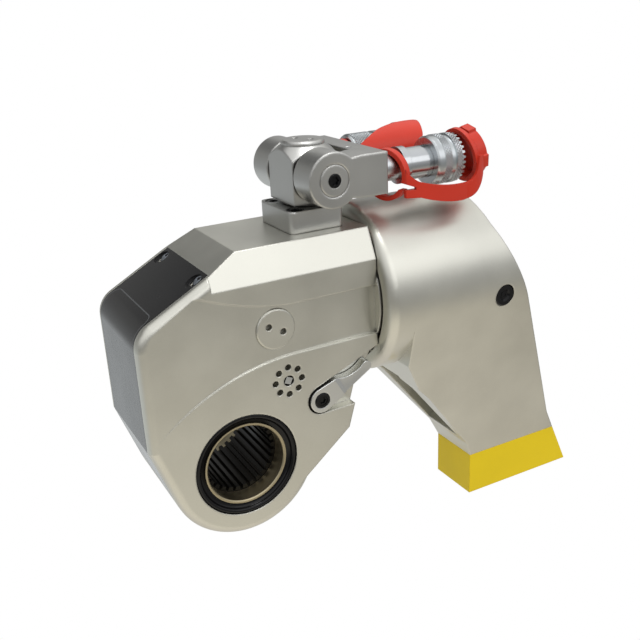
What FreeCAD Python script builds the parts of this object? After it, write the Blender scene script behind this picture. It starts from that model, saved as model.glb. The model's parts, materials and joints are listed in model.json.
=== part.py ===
import FreeCAD, Part
import math
import os
import re
import Sketcher

# Hydraulic torque wrench of the square drive pattern, shown with its drive shaft drawn out.
# The frame: origin on the drive axis at half width, +X along the cylinder towards the reaction
# arm, +Z up towards the swivel. The release lever is on the near side, which faces -Y.

V = FreeCAD.Vector
AXES = {"X": V(1, 0, 0), "Y": V(0, 1, 0), "Z": V(0, 0, 1)}
NEAR = -1
FAR = 1
SIDES = {"near": NEAR, "far": FAR}

# Driving dimensions in millimetres, degrees for angles
DRIVING = {
    # Housing, seen from the near side
    "housing_width": 75,
    "nose_radius": 44,
    "nose_end": 41,
    "belly_reach": 66.5,
    "belly_height": 4.5,
    "shoulder_reach": 75,
    "shoulder_height": 33,
    "block_end": 87.4,
    "block_foot": 50,
    "top_height": 122,
    "slope_end": 6,
    "front_reach": 54,
    "front_corner_height": 89.3,
    "front_corner_radius": 15,
    "knee_height": 22,
    "edge_round": 5,
    "bevel_start": -12,
    "bevel_drop": 17.2,
    "bevel_inset": 8.4,
    "panel_lean": 1,
    "panel_start": -49,
    "panel_roof_left": 103.2,
    "panel_roof_right": 89.6,
    "panel_floor_left": 28.5,
    "panel_floor_right": 60.2,
    "panel_left": -19,
    "panel_bend": 31,
    "panel_roof_radius": 150,
    "panel_floor_radius": 130,
    # Front cover
    "cover_width": 62,
    "cover_thickness": 2,
    "cover_top": -10.5,
    "cover_end": -11,
    "cover_gap": 0.3,
    "cover_screw_reach": -16.7,
    "cover_screw_spread": 51,
    "cover_screw_radius": 2.5,
    "cover_screw_head": 4.2,
    "cover_screw_dish": 5.1,
    # Drive bore and its bushes
    "ring_radius": 31,
    "ring_depth": 4,
    "ring_bore": 25.4,
    "bush_outer": 24.8,
    "bush_bore": 23.2,
    "bush_recess": 1.8,
    "journal_radius": 27.5,
    "journal_end": 24,
    "running_gap": 0.05,
    "side_gap": 0.3,
    # Ratchet wheel
    "tooth_count": 24,
    "tooth_tip": 36,
    "tooth_root": 32,
    "tooth_tip_width": 1.7,
    "tooth_root_width": 7.2,
    "wheel_half_width": 13.2,
    "spline_count": 30,
    "spline_tip": 20.6,
    "spline_root": 22.9,
    "spline_width": 2.3,
    # Cavity for the drive train
    "cavity_half_width": 22,
    "cavity_radius": 38.5,
    "cavity_roof": 98,
    "cavity_right": 44,
    "cavity_window_top": 84,
    "cavity_window_floor": 12,
    # Drive crank
    "plate_inner": 13.5,
    "plate_outer": 21.4,
    "plate_hub": 37,
    "pin_reach": 23.1,
    "pin_radius": 8,
    "pin_boss": 13.5,
    "slot_play": 0.6,
    "slot_low": 76.2,
    "slot_high": 81.2,
    "stroke_angle": 30,
    "pawl_lean": 5,
    "pawl_half_width": 8,
    "pawl_length": 16.5,
    "pawl_lift": 4.6,
    "pawl_mesh_gap": 0.4,
    "carrier_half_width": 12,
    "carrier_low": 46,
    "carrier_high": 62,
    "carrier_bridge": 4,
    "dowel_radius": 1.5,
    "spring_radius": 2.4,
    "spring_wire": 0.8,
    "spring_seat": 8,
    # Cylinder, piston and rod
    "cylinder_height": 77,
    "cylinder_bore": 30,
    "cylinder_wall": 4.5,
    "cylinder_front": 76,
    "cylinder_end": 158,
    "spigot_radius": 41,
    "rod_radius": 12,
    "gland_radius": 18,
    "gland_front": 56,
    "rod_passage": 13,
    "piston_front": 124,
    "piston_length": 20,
    "seal_width": 4,
    "seal_depth": 3,
    "nut_radius": 11,
    "nut_length": 4,
    "cap_front": 149,
    "stud_radius": 6,
    "stud_neck": 3.6,
    "stud_length": 22,
    # Reaction arm
    "arm_bore": 41.1,
    "arm_radius": 52,
    "arm_front": 87.8,
    "arm_lip_radius": 6,
    "arm_mouth": 43.3,
    "arm_mouth_depth": 2.6,
    "arm_spline_count": 45,
    "arm_spline_tip": 43,
    "arm_spline_width": 2.6,
    "arm_spline_length": 28,
    "arm_spline_gap": 0.25,
    "leg_front": 105.4,
    "leg_arris": 35,
    "leg_step": 116.5,
    "leg_step_height": 14.6,
    "leg_knee": 126,
    "leg_knee_height": 5,
    "leg_ankle": 167,
    "leg_ankle_height": -46.4,
    "foot_front": 172.5,
    "foot_top": -58.6,
    "foot_bottom": -89,
    "foot_heel_top": 247.7,
    "foot_heel_bottom": 261.3,
    "heel_kink": 237,
    "heel_kink_height": -41,
    "back_top": 168,
    "back_top_height": 112,
    "crown_back": 164,
    "foot_half_width": 18.6,
    "leg_pocket_depth": 9,
    "leg_pocket_flange": 8,
    "coat_thickness": 0.8,
    # Arm latch
    "latch_reach": 170,
    "latch_height": 69.7,
    "latch_head": 7,
    "latch_stem": 3.4,
    "latch_travel": 5,
    "latch_head_length": 7,
    "latch_scallop": 5.4,
    # Reaction pawl and release lever
    "pivot_reach": 48.7,
    "pivot_height": 27.3,
    "shaft_radius": 6,
    "pawl_hub": 8.8,
    "shaft_end": 30,
    "lever_pocket_depth": 6,
    "lever_pocket_radius": 8.8,
    "lever_pocket_lean": 22.3,
    "lever_head": 7.6,
    "lever_thickness": 7,
    "lever_lean": 31.5,
    "lever_reach": 33.1,
    "lever_tip_radius": 3.3,
    "lever_brow": 14,
    "lever_brow_height": 4.7,
    "lever_brow_turn": 17,
    "lever_hollow": 18,
    "lever_step": 1,
    "lever_bevel": 2.6,
    "lever_socket": 3,
    "release_angle": 12,
    # Small features of the near face
    "plug_radius": 11.6,
    "plug_depth": 5,
    "plug_hole": 1.9,
    "plug_hole_spread": 4.2,
    "anchor_reach": 28.7,
    "anchor_height": 44.8,
    "anchor_pitch": 8.2,
    "anchor_hole": 1.9,
    "anchor_count": 8,
    "anchor_depth": 5,
    "anchor_bore": 3.2,
    "anchor_square": 4,
    # Swivel
    "swivel_reach": 64,
    "base_left": 44,
    "base_right": 78,
    "base_half_width": 20,
    "base_height": 12.4,
    "base_corner": 4,
    "base_screw_inset": 6.2,
    "base_screw_head": 4.6,
    "base_screw_depth": 5.5,
    "base_screw_radius": 2.9,
    "base_screw_length": 9,
    "neck_radius": 13,
    "neck_height": 2.1,
    "stem_radius": 10,
    "stem_length": 24,
    "post_half_depth": 14.7,
    "post_half_width": 15,
    "post_face_rise": 13.8,
    "post_cone_fall": 0.8,
    "post_cap_radius": 12.4,
    "post_cap_height": 2.4,
    "tilt_height": 152,
    "axle_radius": 8.8,
    "ear_radius": 15.4,
    "yoke_half_width": 35.4,
    "ear_inner": 16.5,
    "yoke_clearance": 23,
    "yoke_half_height": 11.8,
    "yoke_end": 97.7,
    "yoke_waist": 17,
    "yoke_edge": 1.2,
    "socket_radius": 3.9,
    "socket_depth": 5,
    # Couplers and dust caps
    "coupler_spread": 44,
    "adapter_radius": 8,
    "adapter_length": 13.5,
    "adapter_thread": 6,
    "coupler_radius": 9.3,
    "near_flange": 4.5,
    "near_flange_radius": 10.6,
    "near_collar_start": 131.5,
    "near_coupler_end": 148.5,
    "near_collar_radius": 14.5,
    "near_collar_skirt": 4.5,
    "far_collar_start": 104.5,
    "far_collar_end": 127,
    "far_coupler_end": 147,
    "far_collar_radius": 13,
    "far_collar_skirt": 1.5,
    "collar_band": 4,
    "collar_groove": 0.9,
    "collar_groove_width": 3.5,
    "nose_bore": 5.5,
    "valve_radius": 3,
    "dust_cap_wall": 1.8,
    "near_cap_lead": 155.8,
    "near_cap_rise": 0.2,
    "near_cap_tilt": 12,
    "far_cap_lead": 141,
    "far_cap_rise": 0,
    "far_cap_tilt": 1,
    "cap_bore": 13.2,
    "cap_depth": 8.6,
    "cap_flare": 0.2,
    "cap_rim": 2.5,
    "cap_bead": 1,
    "lug_count": 4,
    "lug_width": 8.6,
    "lug_height": 0.9,
    "lug_turn": 15,
    "loop_bore": 12.2,
    "loop_wall": 2.6,
    "loop_width": 4.5,
    "near_loop_reach": 105.2,
    "near_loop_turn": 20,
    "far_loop_reach": 101.1,
    "far_loop_turn": 2,
    # Near strap: its plan measured out from the coupler's axis, its side view up from it
    "strap_thickness": 2.2,
    "strap_width": 9.4,
    "strap_slit": 1.2,
    "strap_root": 12.4,
    "strap_start": 108.6,
    "strap_waist": 117,
    "strap_hip": 149,
    "strap_end": 161.6,
    "strap_bow": 17.5,
    "strap_landing": 13.2,
    "strap_top": -7.6,
    "strap_low": -12.2,
    "strap_floor": -21.9,
    # Far strap: a band bowed over the near side of its coupler, in its own leaning view
    "band_thickness": 1.8,
    "band_lean": 45,
    "band_start": 100,
    "band_end": 155,
    "band_start_radius": 15.3,
    "band_end_radius": 16.4,
    "band_swell": 300,
    "band_waist": 122,
    "band_waist_top": 5,
    "band_root": 109,
    "band_root_top": -2.2,
    "band_end_top": 11.8,
    "band_end_low": -3,
    "band_floor": -9.5,
}

# Sizes that follow from the driving ones
DERIVED = {
    "half_width": "housing_width / 2",
    "ring_seat": "half_width - ring_depth",
    "slope": "(top_height - front_corner_height) / (slope_end + front_reach)",
    "slope_stretch": "sqrt(1 + slope ^ 2)",
    "knee_square": "front_reach ^ 2 + knee_height ^ 2",
    "knee_tangent": "sqrt(knee_square - nose_radius ^ 2)",
    "nose_left": "-(nose_radius ^ 2 * front_reach + nose_radius * knee_tangent * knee_height) / knee_square",
    "nose_left_height": "(nose_radius ^ 2 * knee_height - nose_radius * knee_tangent * front_reach) / knee_square",
    "knee_lean": "(front_reach + nose_left) / (knee_height - nose_left_height)",
    "knee_stretch": "sqrt(1 + knee_lean ^ 2)",
    "cover_screw_height": "front_corner_height + (cover_screw_reach + front_reach) * slope",
    "bush_seat": "journal_end + side_gap",
    "pin_distance": "sqrt(pin_reach ^ 2 + cylinder_height ^ 2)",
    "rod_travel": "pin_reach + cylinder_height * (tan(stroke_angle) - pin_reach / cylinder_height)"
                  " / (1 + tan(stroke_angle) * pin_reach / cylinder_height)",
    "tooth_pitch": "360 / tooth_count",
    "piston_radius": "cylinder_bore - running_gap",
    "arm_wall": "cylinder_end + side_gap",
    "base_top": "top_height + base_height",
    "post_foot": "base_top + neck_height",
    "post_face_height": "tilt_height + post_face_rise",
    "post_top": "post_face_height + post_cone_fall * (post_half_depth - post_cap_radius)",
    "coupler_side": "coupler_spread / 2",
    "adapter_end": "yoke_end + adapter_length",
}

doc = FreeCAD.newDocument("TorqueWrench")
sheet = doc.addObject("Spreadsheet::Sheet", "Sizes")
parts = {}


def sized(text):
    """The expression with every size name pointed at its cell in the sheet."""
    def point(match):
        word = match.group(0)
        return "Sizes." + word if word in DRIVING or word in DERIVED else word
    return re.sub(r"[a-z]+(?:_[a-z]+)*", point, str(text))


def fill_sheet():
    """Writes the driving sizes as numbers and the derived ones as formulas of them."""
    for row, (name, number) in enumerate(DRIVING.items(), 1):
        sheet.set(f"A{row}", name)
        sheet.set(f"B{row}", str(number))
        sheet.setAlias(f"B{row}", name)
    for row, (name, formula) in enumerate(DERIVED.items(), 1):
        sheet.set(f"D{row}", name)
        sheet.set(f"E{row}", "=" + formula)
        sheet.setAlias(f"E{row}", name)
    doc.recompute()


def value(text):
    """The number that an expression of sizes gives."""
    number = sheet.evalExpression(sized(text))
    return float(getattr(number, "Value", number))


def new_body(name):
    """An empty body; its label becomes the name of its node."""
    body = doc.addObject("PartDesign::Body", name)
    body.Label = name
    return body


def keep(name, thing):
    """Registers a finished sub-part under its node name."""
    thing.Label = name
    parts[name] = thing
    return thing


def place(thing, across="0", along="0", up="0", axis="Z", angle="0"):
    """Places a sub-part by expressions, turned by an angle about one row axis."""
    thing.Placement = FreeCAD.Placement(V(0, 0, 0), FreeCAD.Rotation(AXES[axis], value(angle) or 1e-9))
    if value(angle):
        thing.setExpression("Placement.Rotation.Angle", sized(angle))
    else:
        thing.Placement = FreeCAD.Placement()
    thing.setExpression("Placement.Base.x", sized(across))
    thing.setExpression("Placement.Base.y", sized(along))
    thing.setExpression("Placement.Base.z", sized(up))
    return thing


def new_sketch(body, plane, level="0"):
    """A sketch on one of the body's own planes, at a level along the plane's row axis."""
    sketch = body.newObject("Sketcher::SketchObject", "Sketch")
    origin = {feature.Role: feature for feature in body.Origin.OriginFeatures}
    sketch.AttachmentSupport = [(origin[plane + "_Plane"], "")]
    sketch.MapMode = "FlatFace"
    sign = "-" if plane == "XZ" else ""
    sketch.setExpression("AttachmentOffset.Base.z", f"{sign}({sized(level)})")
    return sketch


def pin_down(sketch, geometry, point, across, up):
    """Fixes one point of a sketch at two expressions."""
    for kind, text in (("DistanceX", across), ("DistanceY", up)):
        number = sketch.addConstraint(Sketcher.Constraint(kind, -1, 1, geometry, point, value(text)))
        sketch.setExpression(f"Constraints[{number}]", sized(text))


def draw_outline(sketch, corners):
    """Closes an outline through corners: (across, up), or with (radius, turn) for an arc that leads there."""
    places = [V(value(corner[0]), value(corner[1]), 0) for corner in corners]
    count = len(corners)
    ends = []
    for index, corner in enumerate(corners):
        start, stop = places[index - 1], places[index]
        if len(corner) == 2:
            number = sketch.addGeometry(Part.LineSegment(start, stop), False)
            ends.append((number, 1, 2))
            continue
        radius, turn = value(corner[2]), corner[3]
        chord = stop - start
        rise = math.sqrt(max(radius ** 2 - (chord.Length / 2) ** 2, 0))
        left = V(-chord.y, chord.x, 0).normalize()
        centre = (start + stop) / 2 + left * rise * turn
        first, last = (start, stop) if turn > 0 else (stop, start)
        angles = [math.atan2(spot.y - centre.y, spot.x - centre.x) for spot in (first, last)]
        if angles[1] < angles[0]:
            angles[1] += 2 * math.pi
        number = sketch.addGeometry(Part.ArcOfCircle(Part.Circle(centre, V(0, 0, 1), radius), *angles), False)
        rule = sketch.addConstraint(Sketcher.Constraint("Radius", number, radius))
        sketch.setExpression(f"Constraints[{rule}]", sized(corner[2]))
        ends.append((number, 1, 2) if turn > 0 else (number, 2, 1))
    for index in range(count):
        before, after = ends[index], ends[(index + 1) % count]
        sketch.addConstraint(Sketcher.Constraint("Coincident", before[0], before[2], after[0], after[1]))
    for index, corner in enumerate(corners):
        pin_down(sketch, ends[index][0], ends[index][2], corner[0], corner[1])


def draw_circle(sketch, across, up, radius):
    """A circle at two expressions."""
    circle = Part.Circle(V(value(across), value(up), 0), V(0, 0, 1), value(radius))
    number = sketch.addGeometry(circle, False)
    pin_down(sketch, number, 3, across, up)
    rule = sketch.addConstraint(Sketcher.Constraint("Radius", number, value(radius)))
    sketch.setExpression(f"Constraints[{rule}]", sized(radius))


def run_out(body, sketch, plane, start, stop, cut):
    """Pads or pockets a sketch from its level at start to the level stop."""
    kind = "Pocket" if cut else "Pad"
    feature = body.newObject("PartDesign::" + kind, kind)
    feature.Profile = sketch
    feature.setExpression("Length", f"({sized(stop)}) - ({sized(start)})")
    feature.Reversed = (plane == "XZ") != cut
    return feature


def prism(body, plane, start, stop, corners, cut=False):
    """An outline run from one level to another, added or cut."""
    sketch = new_sketch(body, plane, start)
    draw_outline(sketch, corners)
    return run_out(body, sketch, plane, start, stop, cut)


def disc(body, plane, start, stop, across, up, radius, cut=False):
    """A round boss or hole from one level to another."""
    sketch = new_sketch(body, plane, start)
    draw_circle(sketch, across, up, radius)
    return run_out(body, sketch, plane, start, stop, cut)


def hole(body, plane, start, stop, across, up, radius):
    """A round hole from one level to another."""
    return disc(body, plane, start, stop, across, up, radius, cut=True)


def turned(name, corners):
    """A body turned about its own X axis from an outline of (along, radius) corners."""
    body = new_body(name)
    sketch = new_sketch(body, "XZ")
    draw_outline(sketch, corners)
    feature = body.newObject("PartDesign::Revolution", "Turning")
    feature.Profile = sketch
    feature.ReferenceAxis = (sketch, ["H_Axis"])
    feature.Angle = 360
    return keep(name, body)


def tube(name, start, stop, outer, inner):
    """A plain ring or sleeve about its own X axis."""
    return turned(name, [(start, inner), (stop, inner), (stop, outer), (start, outer)])


def pin(name, start, stop, radius, chamfer="0.5"):
    """A round pin with broken edges about its own X axis."""
    return turned(name, [(start, "0"), (stop, "0"), (stop, f"{radius} - {chamfer}"),
                         (f"{stop} - {chamfer}", radius), (f"{start} + {chamfer}", radius),
                         (start, f"{radius} - {chamfer}")])


def repeat_round(body, feature, sketch, count):
    """Repeats one feature about the normal of its sketch's origin."""
    pattern = body.newObject("PartDesign::PolarPattern", "Pattern")
    pattern.Originals = [feature]
    pattern.Axis = (sketch, ["N_Axis"])
    pattern.Angle = 360
    pattern.setExpression("Occurrences", sized(count))
    body.Tip = pattern
    return pattern


def centred_sketch(body, plane, level, across, up):
    """A sketch whose own origin stands at a point of its plane."""
    sketch = new_sketch(body, plane, level)
    sketch.setExpression("AttachmentOffset.Base.x", sized(across))
    sketch.setExpression("AttachmentOffset.Base.y", sized(up))
    return sketch


def edges_where(feature, test):
    """The names of a feature's edges whose middle point passes a test."""
    doc.recompute()
    names = []
    for number, edge in enumerate(feature.Shape.Edges, 1):
        middle = edge.valueAt((edge.FirstParameter + edge.LastParameter) / 2)
        if test(edge, middle):
            names.append(f"Edge{number}")
    return names


def soften(body, feature, test, radius, kind="Fillet"):
    """Rounds or bevels the edges that pass a test."""
    names = edges_where(feature, test)
    softened = body.newObject("PartDesign::" + kind, kind)
    softened.Base = (feature, names)
    softened.setExpression("Radius" if kind == "Fillet" else "Size", sized(radius))
    return softened


def is_across(edge, middle, across, up):
    """Whether an edge runs along Y through one point of the side view."""
    ends = [vertex.Point for vertex in edge.Vertexes]
    return (len(ends) == 2 and abs(ends[0].x - ends[1].x) < 1e-6 and abs(ends[0].z - ends[1].z) < 1e-6
            and abs(middle.x - value(across)) < 0.01 and abs(middle.z - value(up)) < 0.01)


# Housing
def bend_point(radius, on_slope):
    """Where the front corner's bend of a radius leaves the slope, or the upright front."""
    across = "(front_corner_radius - front_reach)"
    up = "(front_corner_height + front_corner_radius * (slope - slope_stretch))"
    if on_slope:
        return (f"{across} - {radius} * slope / slope_stretch", f"{up} + {radius} / slope_stretch")
    return (f"{across} - {radius}", up)


def cover_line(reach):
    """The side view of the housing's front, moved outwards by a reach: slope, bend, upright and knee."""
    radius = f"(front_corner_radius + {reach})"
    return [
        ("cover_top", f"front_corner_height + (cover_top + front_reach) * slope + {reach} * slope_stretch"),
        bend_point(radius, True),
        bend_point(radius, False),
        (f"-front_reach - {reach}", f"knee_height - {reach} * (knee_stretch - 1) / knee_lean"),
        (f"(knee_height - cover_end) * knee_lean - front_reach - {reach} * knee_stretch", "cover_end"),
    ]


def cover_strip(reach):
    """The side view of the front cover's seat, from its inner line out to a reach beyond the housing."""
    inner = cover_line("(-cover_thickness)")
    outer = cover_line(reach)[::-1]
    inner[2] += ("front_corner_radius - cover_thickness", 1)
    outer[3] += (f"front_corner_radius + {reach}", -1)
    return inner + outer


def slope_sketch(body, depth):
    """A sketch on the sloping front top, a depth below it, centred between the cover's screws."""
    sketch = new_sketch(body, "XY")
    sketch.AttachmentOffset = FreeCAD.Placement(V(0, 0, 0), FreeCAD.Rotation(AXES["Y"], -10))
    sketch.setExpression("AttachmentOffset.Rotation.Angle", "-atan(Sizes.slope)")
    sketch.setExpression("AttachmentOffset.Base.x", sized(f"cover_screw_reach + {depth} * slope / slope_stretch"))
    sketch.setExpression("AttachmentOffset.Base.z", sized(f"cover_screw_height - {depth} / slope_stretch"))
    return sketch


def screw_holes(body, depth, radius, length):
    """A pair of holes square to the sloping front top."""
    for side in SIDES.values():
        sketch = slope_sketch(body, depth)
        draw_circle(sketch, "0", f"{side} * cover_screw_spread / 2", radius)
        feature = body.newObject("PartDesign::Pocket", "ScrewHole")
        feature.Profile = sketch
        feature.setExpression("Length", sized(length))


def lever_pocket_outline():
    """The side view of the pocket that the release lever lies in, open at the housing's rear edge."""
    radius, lean = "lever_pocket_radius", "lever_pocket_lean"
    open_end = "(block_end + 2)"
    edge_start = f"(pivot_reach - {radius} * sin({lean}))"
    edge_height = f"(pivot_height + {radius} * cos({lean}))"
    return [
        (open_end, f"pivot_height - {radius} + 1"),
        (open_end, f"{edge_height} + ({open_end} - {edge_start}) * tan({lean})"),
        (edge_start, edge_height),
        (f"pivot_reach - {radius}", "pivot_height", radius, 1),
        ("pivot_reach", f"pivot_height - {radius}", radius, 1),
    ]


def sink_panels(body):
    """The curved band sunk into each side wall, its floor leaning in from nothing at the front."""
    start = "(half_width + panel_start * tan(panel_lean))"
    for side in SIDES.values():
        sketch = new_sketch(body, "XZ")
        sketch.AttachmentOffset = FreeCAD.Placement(V(0, 0, 0), FreeCAD.Rotation(AXES["Y"], -side))
        sketch.setExpression("AttachmentOffset.Rotation.Angle", sized(f"{-side} * panel_lean"))
        sketch.setExpression("AttachmentOffset.Base.z", sized(f"{-side} * {start}"))
        draw_outline(sketch, [
            ("panel_start - 3", "panel_roof_left"),
            ("panel_start - 3", "panel_floor_left"),
            ("panel_start", "panel_floor_left"),
            ("panel_bend", "panel_floor_right", "panel_floor_radius", -1),
            ("block_end + 1", "panel_floor_right"),
            ("block_end + 1", "panel_roof_right"),
            ("panel_bend", "panel_roof_right"),
            ("panel_left", "panel_roof_left", "panel_roof_radius", -1),
        ])
        feature = body.newObject("PartDesign::Pocket", "Panel")
        feature.Profile = sketch
        feature.Length = 6
        feature.Reversed = side == NEAR


def build_housing():
    """The housing: side walls, cavity, drive bore and the cylinder with its splined spigot."""
    body = new_body("housing")
    block = prism(body, "XZ", "-half_width", "half_width", [
        ("slope_end", "top_height"),
        ("-front_reach", "front_corner_height"),
        ("-front_reach", "knee_height"),
        ("nose_left", "nose_left_height"),
        ("nose_end", "-sqrt(nose_radius ^ 2 - nose_end ^ 2)", "nose_radius", 1),
        ("belly_reach", "belly_height"),
        ("shoulder_reach", "shoulder_height"),
        ("block_end", "block_foot"),
        ("block_end", "top_height"),
    ])
    block = soften(body, block,
                   lambda edge, middle: is_across(edge, middle, "-front_reach", "front_corner_height"),
                   "front_corner_radius")
    flank = value("half_width")
    crest = value("slope_end")
    floor = value("nose_left_height")
    block = soften(body, block,
                   lambda edge, middle: abs(abs(middle.y) - flank) < 0.01 and middle.x < crest - 1
                   and middle.z > floor, "edge_round")
    for side in SIDES.values():
        prism(body, "YZ", "bevel_start", "block_end", [
            (f"{side} * half_width", "top_height - bevel_drop"),
            (f"{side} * (half_width + 1)", "top_height - bevel_drop"),
            (f"{side} * (half_width + 1)", "top_height + 1"),
            (f"{side} * (half_width - bevel_inset)", "top_height + 1"),
            (f"{side} * (half_width - bevel_inset)", "top_height"),
        ], cut=True)
    sink_panels(body)
    prism(body, "XZ", "-cover_width / 2 - cover_gap", "cover_width / 2 + cover_gap",
                 cover_strip("6"), cut=True)
    prism(body, "XZ", "-cavity_half_width", "cavity_half_width", [
        ("cavity_right", "cavity_roof"),
        ("-front_reach * 0.48", "cavity_roof"),
        ("-front_reach * 0.82", "cavity_window_top"),
        ("-front_reach - 1", "cavity_window_top"),
        ("-front_reach - 1", "cavity_window_floor"),
        ("-sqrt(cavity_radius ^ 2 - cavity_window_floor ^ 2)", "cavity_window_floor"),
        ("0", "-cavity_radius", "cavity_radius", 1),
        ("cavity_radius", "0", "cavity_radius", 1),
        ("pivot_reach + pawl_hub + 1", "pivot_height - pawl_hub - 4"),
        ("pivot_reach + pawl_hub + 1", "pivot_height + pawl_hub + 4"),
        ("cavity_right", "pivot_height + pawl_hub + 8"),
    ], cut=True)
    for low, high in (("-half_width - 1", "-ring_seat"), ("ring_seat", "half_width + 1")):
        hole(body, "XZ", low, high, "0", "0", "ring_radius")
        hole(body, "XZ", low, high, "pin_reach", "cylinder_height", "plug_radius")
    hole(body, "XZ", "-half_width", "half_width", "0", "0", "bush_outer")
    hole(body, "XZ", "-bush_seat", "bush_seat", "0", "0", "journal_radius + running_gap")
    hole(body, "XZ", "-half_width", "half_width", "pin_reach", "cylinder_height", "pin_radius + 1")
    disc(body, "YZ", "cylinder_front", "block_end", "0", "cylinder_height", "cylinder_bore + cylinder_wall")
    disc(body, "YZ", "block_end", "cylinder_end", "0", "cylinder_height", "spigot_radius")
    hole(body, "YZ", "cylinder_front", "cylinder_end + 1", "0", "cylinder_height", "cylinder_bore")
    hole(body, "YZ", "gland_front", "cylinder_end", "0", "cylinder_height", "gland_radius")
    hole(body, "YZ", "cavity_right - 1", "cylinder_end", "0", "cylinder_height", "rod_passage")
    hole(body, "XY", "base_top - base_height - stem_length + neck_height", "top_height + 1", "swivel_reach", "0",
         "stem_radius + running_gap")
    prism(body, "XZ", "-half_width - 1", "lever_pocket_depth - half_width", lever_pocket_outline(), cut=True)
    hole(body, "XZ", "-half_width", "shaft_end", "pivot_reach", "pivot_height", "shaft_radius + running_gap")
    add_anchor_holes(body)
    screw_holes(body, "0", "cover_screw_radius", "cover_thickness + 9")
    add_spigot_splines(body)
    keep("housing", body)


def spline_tooth(sketch, low, high, width):
    """The end view of one spline tooth between two radii, tapering to its tip."""
    draw_outline(sketch, [(f"-{width} / 2", low), (f"{width} / 2", low),
                          (f"{width} / 4", high), (f"-{width} / 4", high)])


def add_spigot_splines(body):
    """The band of splines on the spigot that holds the reaction arm at its angle."""
    start = "arm_front + arm_mouth_depth"
    sketch = centred_sketch(body, "YZ", start, "0", "cylinder_height")
    spline_tooth(sketch, "spigot_radius - 0.5", "arm_spline_tip", "arm_spline_width")
    tooth = run_out(body, sketch, "YZ", start, f"{start} + arm_spline_length", False)
    repeat_round(body, tooth, sketch, "arm_spline_count")


def add_anchor_holes(body):
    """The ring of blind holes and the bore for the pawl spring's anchor, on the near side."""
    low, high = "-half_width", "anchor_depth - half_width"
    sketch = centred_sketch(body, "XZ", low, "anchor_reach", "anchor_height")
    draw_circle(sketch, "0", "anchor_pitch", "anchor_hole")
    first = run_out(body, sketch, "XZ", low, high, True)
    repeat_round(body, first, sketch, "anchor_count")
    hole(body, "XZ", low, "anchor_depth + 3 - half_width", "anchor_reach", "anchor_height", "anchor_bore")


def build_cover():
    """The black front cover, bent over the nose and flush in its seat, with its screws."""
    cover = new_body("front_cover")
    prism(cover, "XZ", "-cover_width / 2", "cover_width / 2", cover_strip("0"))
    screw_holes(cover, "0", "cover_screw_dish", "cover_thickness / 2")
    screw_holes(cover, "0", "cover_screw_radius + 0.5", "cover_thickness + 1")
    keep("front_cover", cover)
    screws = new_body("cover_screws")
    for depth, radius, length in (("cover_thickness / 2", "cover_screw_radius", "cover_thickness / 2 + 8"),
                                  ("-0.2", "cover_screw_head", "cover_thickness / 2 + 0.2")):
        for side in SIDES.values():
            sketch = slope_sketch(screws, depth)
            draw_circle(sketch, "0", f"{side} * cover_screw_spread / 2", radius)
            feature = screws.newObject("PartDesign::Pad", "Screw")
            feature.Profile = sketch
            feature.Reversed = True
            feature.setExpression("Length", sized(length))
    keep("cover_screws", screws)


def build_bore_fittings():
    """The retaining rings, bushes and pin plugs of both side walls."""
    for name, side in SIDES.items():
        turn = f"{side} * 90"
        ring = turned(f"{name}_bore_ring", [
            ("ring_seat", "ring_bore"), ("half_width - 1.2", "ring_bore"), ("half_width - 1.2", "ring_bore + 2.2"),
            ("half_width - 0.3", "ring_bore + 3"), ("half_width - 0.3", "ring_radius - 0.8"),
            ("half_width - 1.1", "ring_radius"), ("ring_seat", "ring_radius")])
        place(ring, axis="Z", angle=turn)
        bush = turned(f"{name}_bush", [
            ("bush_seat", "bush_bore"), ("half_width - bush_recess - 0.6", "bush_bore"),
            ("half_width - bush_recess", "bush_bore + 0.6"), ("half_width - bush_recess", "bush_outer"),
            ("bush_seat", "bush_outer")])
        place(bush, axis="Z", angle=turn)
        plug = pin(f"{name}_pin_plug", "ring_seat", "half_width - 0.15", "plug_radius")
        for shift in (-1, 1):
            hole(plug, "YZ", "half_width - 3", "half_width", f"{shift} * plug_hole_spread * {-side}",
                 f"-{shift} * plug_hole_spread / 2", "plug_hole")
        place(plug, across="pin_reach", up="cylinder_height", axis="Z", angle=turn)


# Ratchet and crank
def build_ratchet():
    """The ratchet wheel with its outer teeth, journals and the internal spline of the drive bore."""
    wheel = new_body("ratchet_wheel")
    disc(wheel, "XZ", "-wheel_half_width", "wheel_half_width", "0", "0", "tooth_root")
    sketch = new_sketch(wheel, "XZ", "-wheel_half_width")
    draw_outline(sketch, [("-tooth_root_width / 2", "tooth_root - 1"), ("tooth_root_width / 2", "tooth_root - 1"),
                          ("tooth_root_width / 2", "tooth_root"), ("tooth_tip_width / 2", "tooth_tip"),
                          ("-tooth_tip_width / 2", "tooth_tip"), ("-tooth_root_width / 2", "tooth_root")])
    tooth = run_out(wheel, sketch, "XZ", "-wheel_half_width", "wheel_half_width", False)
    repeat_round(wheel, tooth, sketch, "tooth_count")
    disc(wheel, "XZ", "-journal_end", "journal_end", "0", "0", "journal_radius")
    hole(wheel, "XZ", "-journal_end", "journal_end", "0", "0", "spline_tip")
    sketch = new_sketch(wheel, "XZ", "-journal_end")
    draw_outline(sketch, [("-spline_width / 2", "spline_tip - 1"), ("spline_width / 2", "spline_tip - 1"),
                          ("spline_width / 3", "spline_root"), ("-spline_width / 3", "spline_root")])
    groove = run_out(wheel, sketch, "XZ", "-journal_end", "journal_end", True)
    repeat_round(wheel, groove, sketch, "spline_count")
    keep("ratchet_wheel", wheel)
    place(wheel, axis="Y", angle=f"{PAWL_LINE}")


CRANK_LINE = "(90 - atan2(cylinder_height; pin_reach) / 1deg)"
PAWL_LINE = f"({CRANK_LINE} - pawl_lean)"


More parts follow.
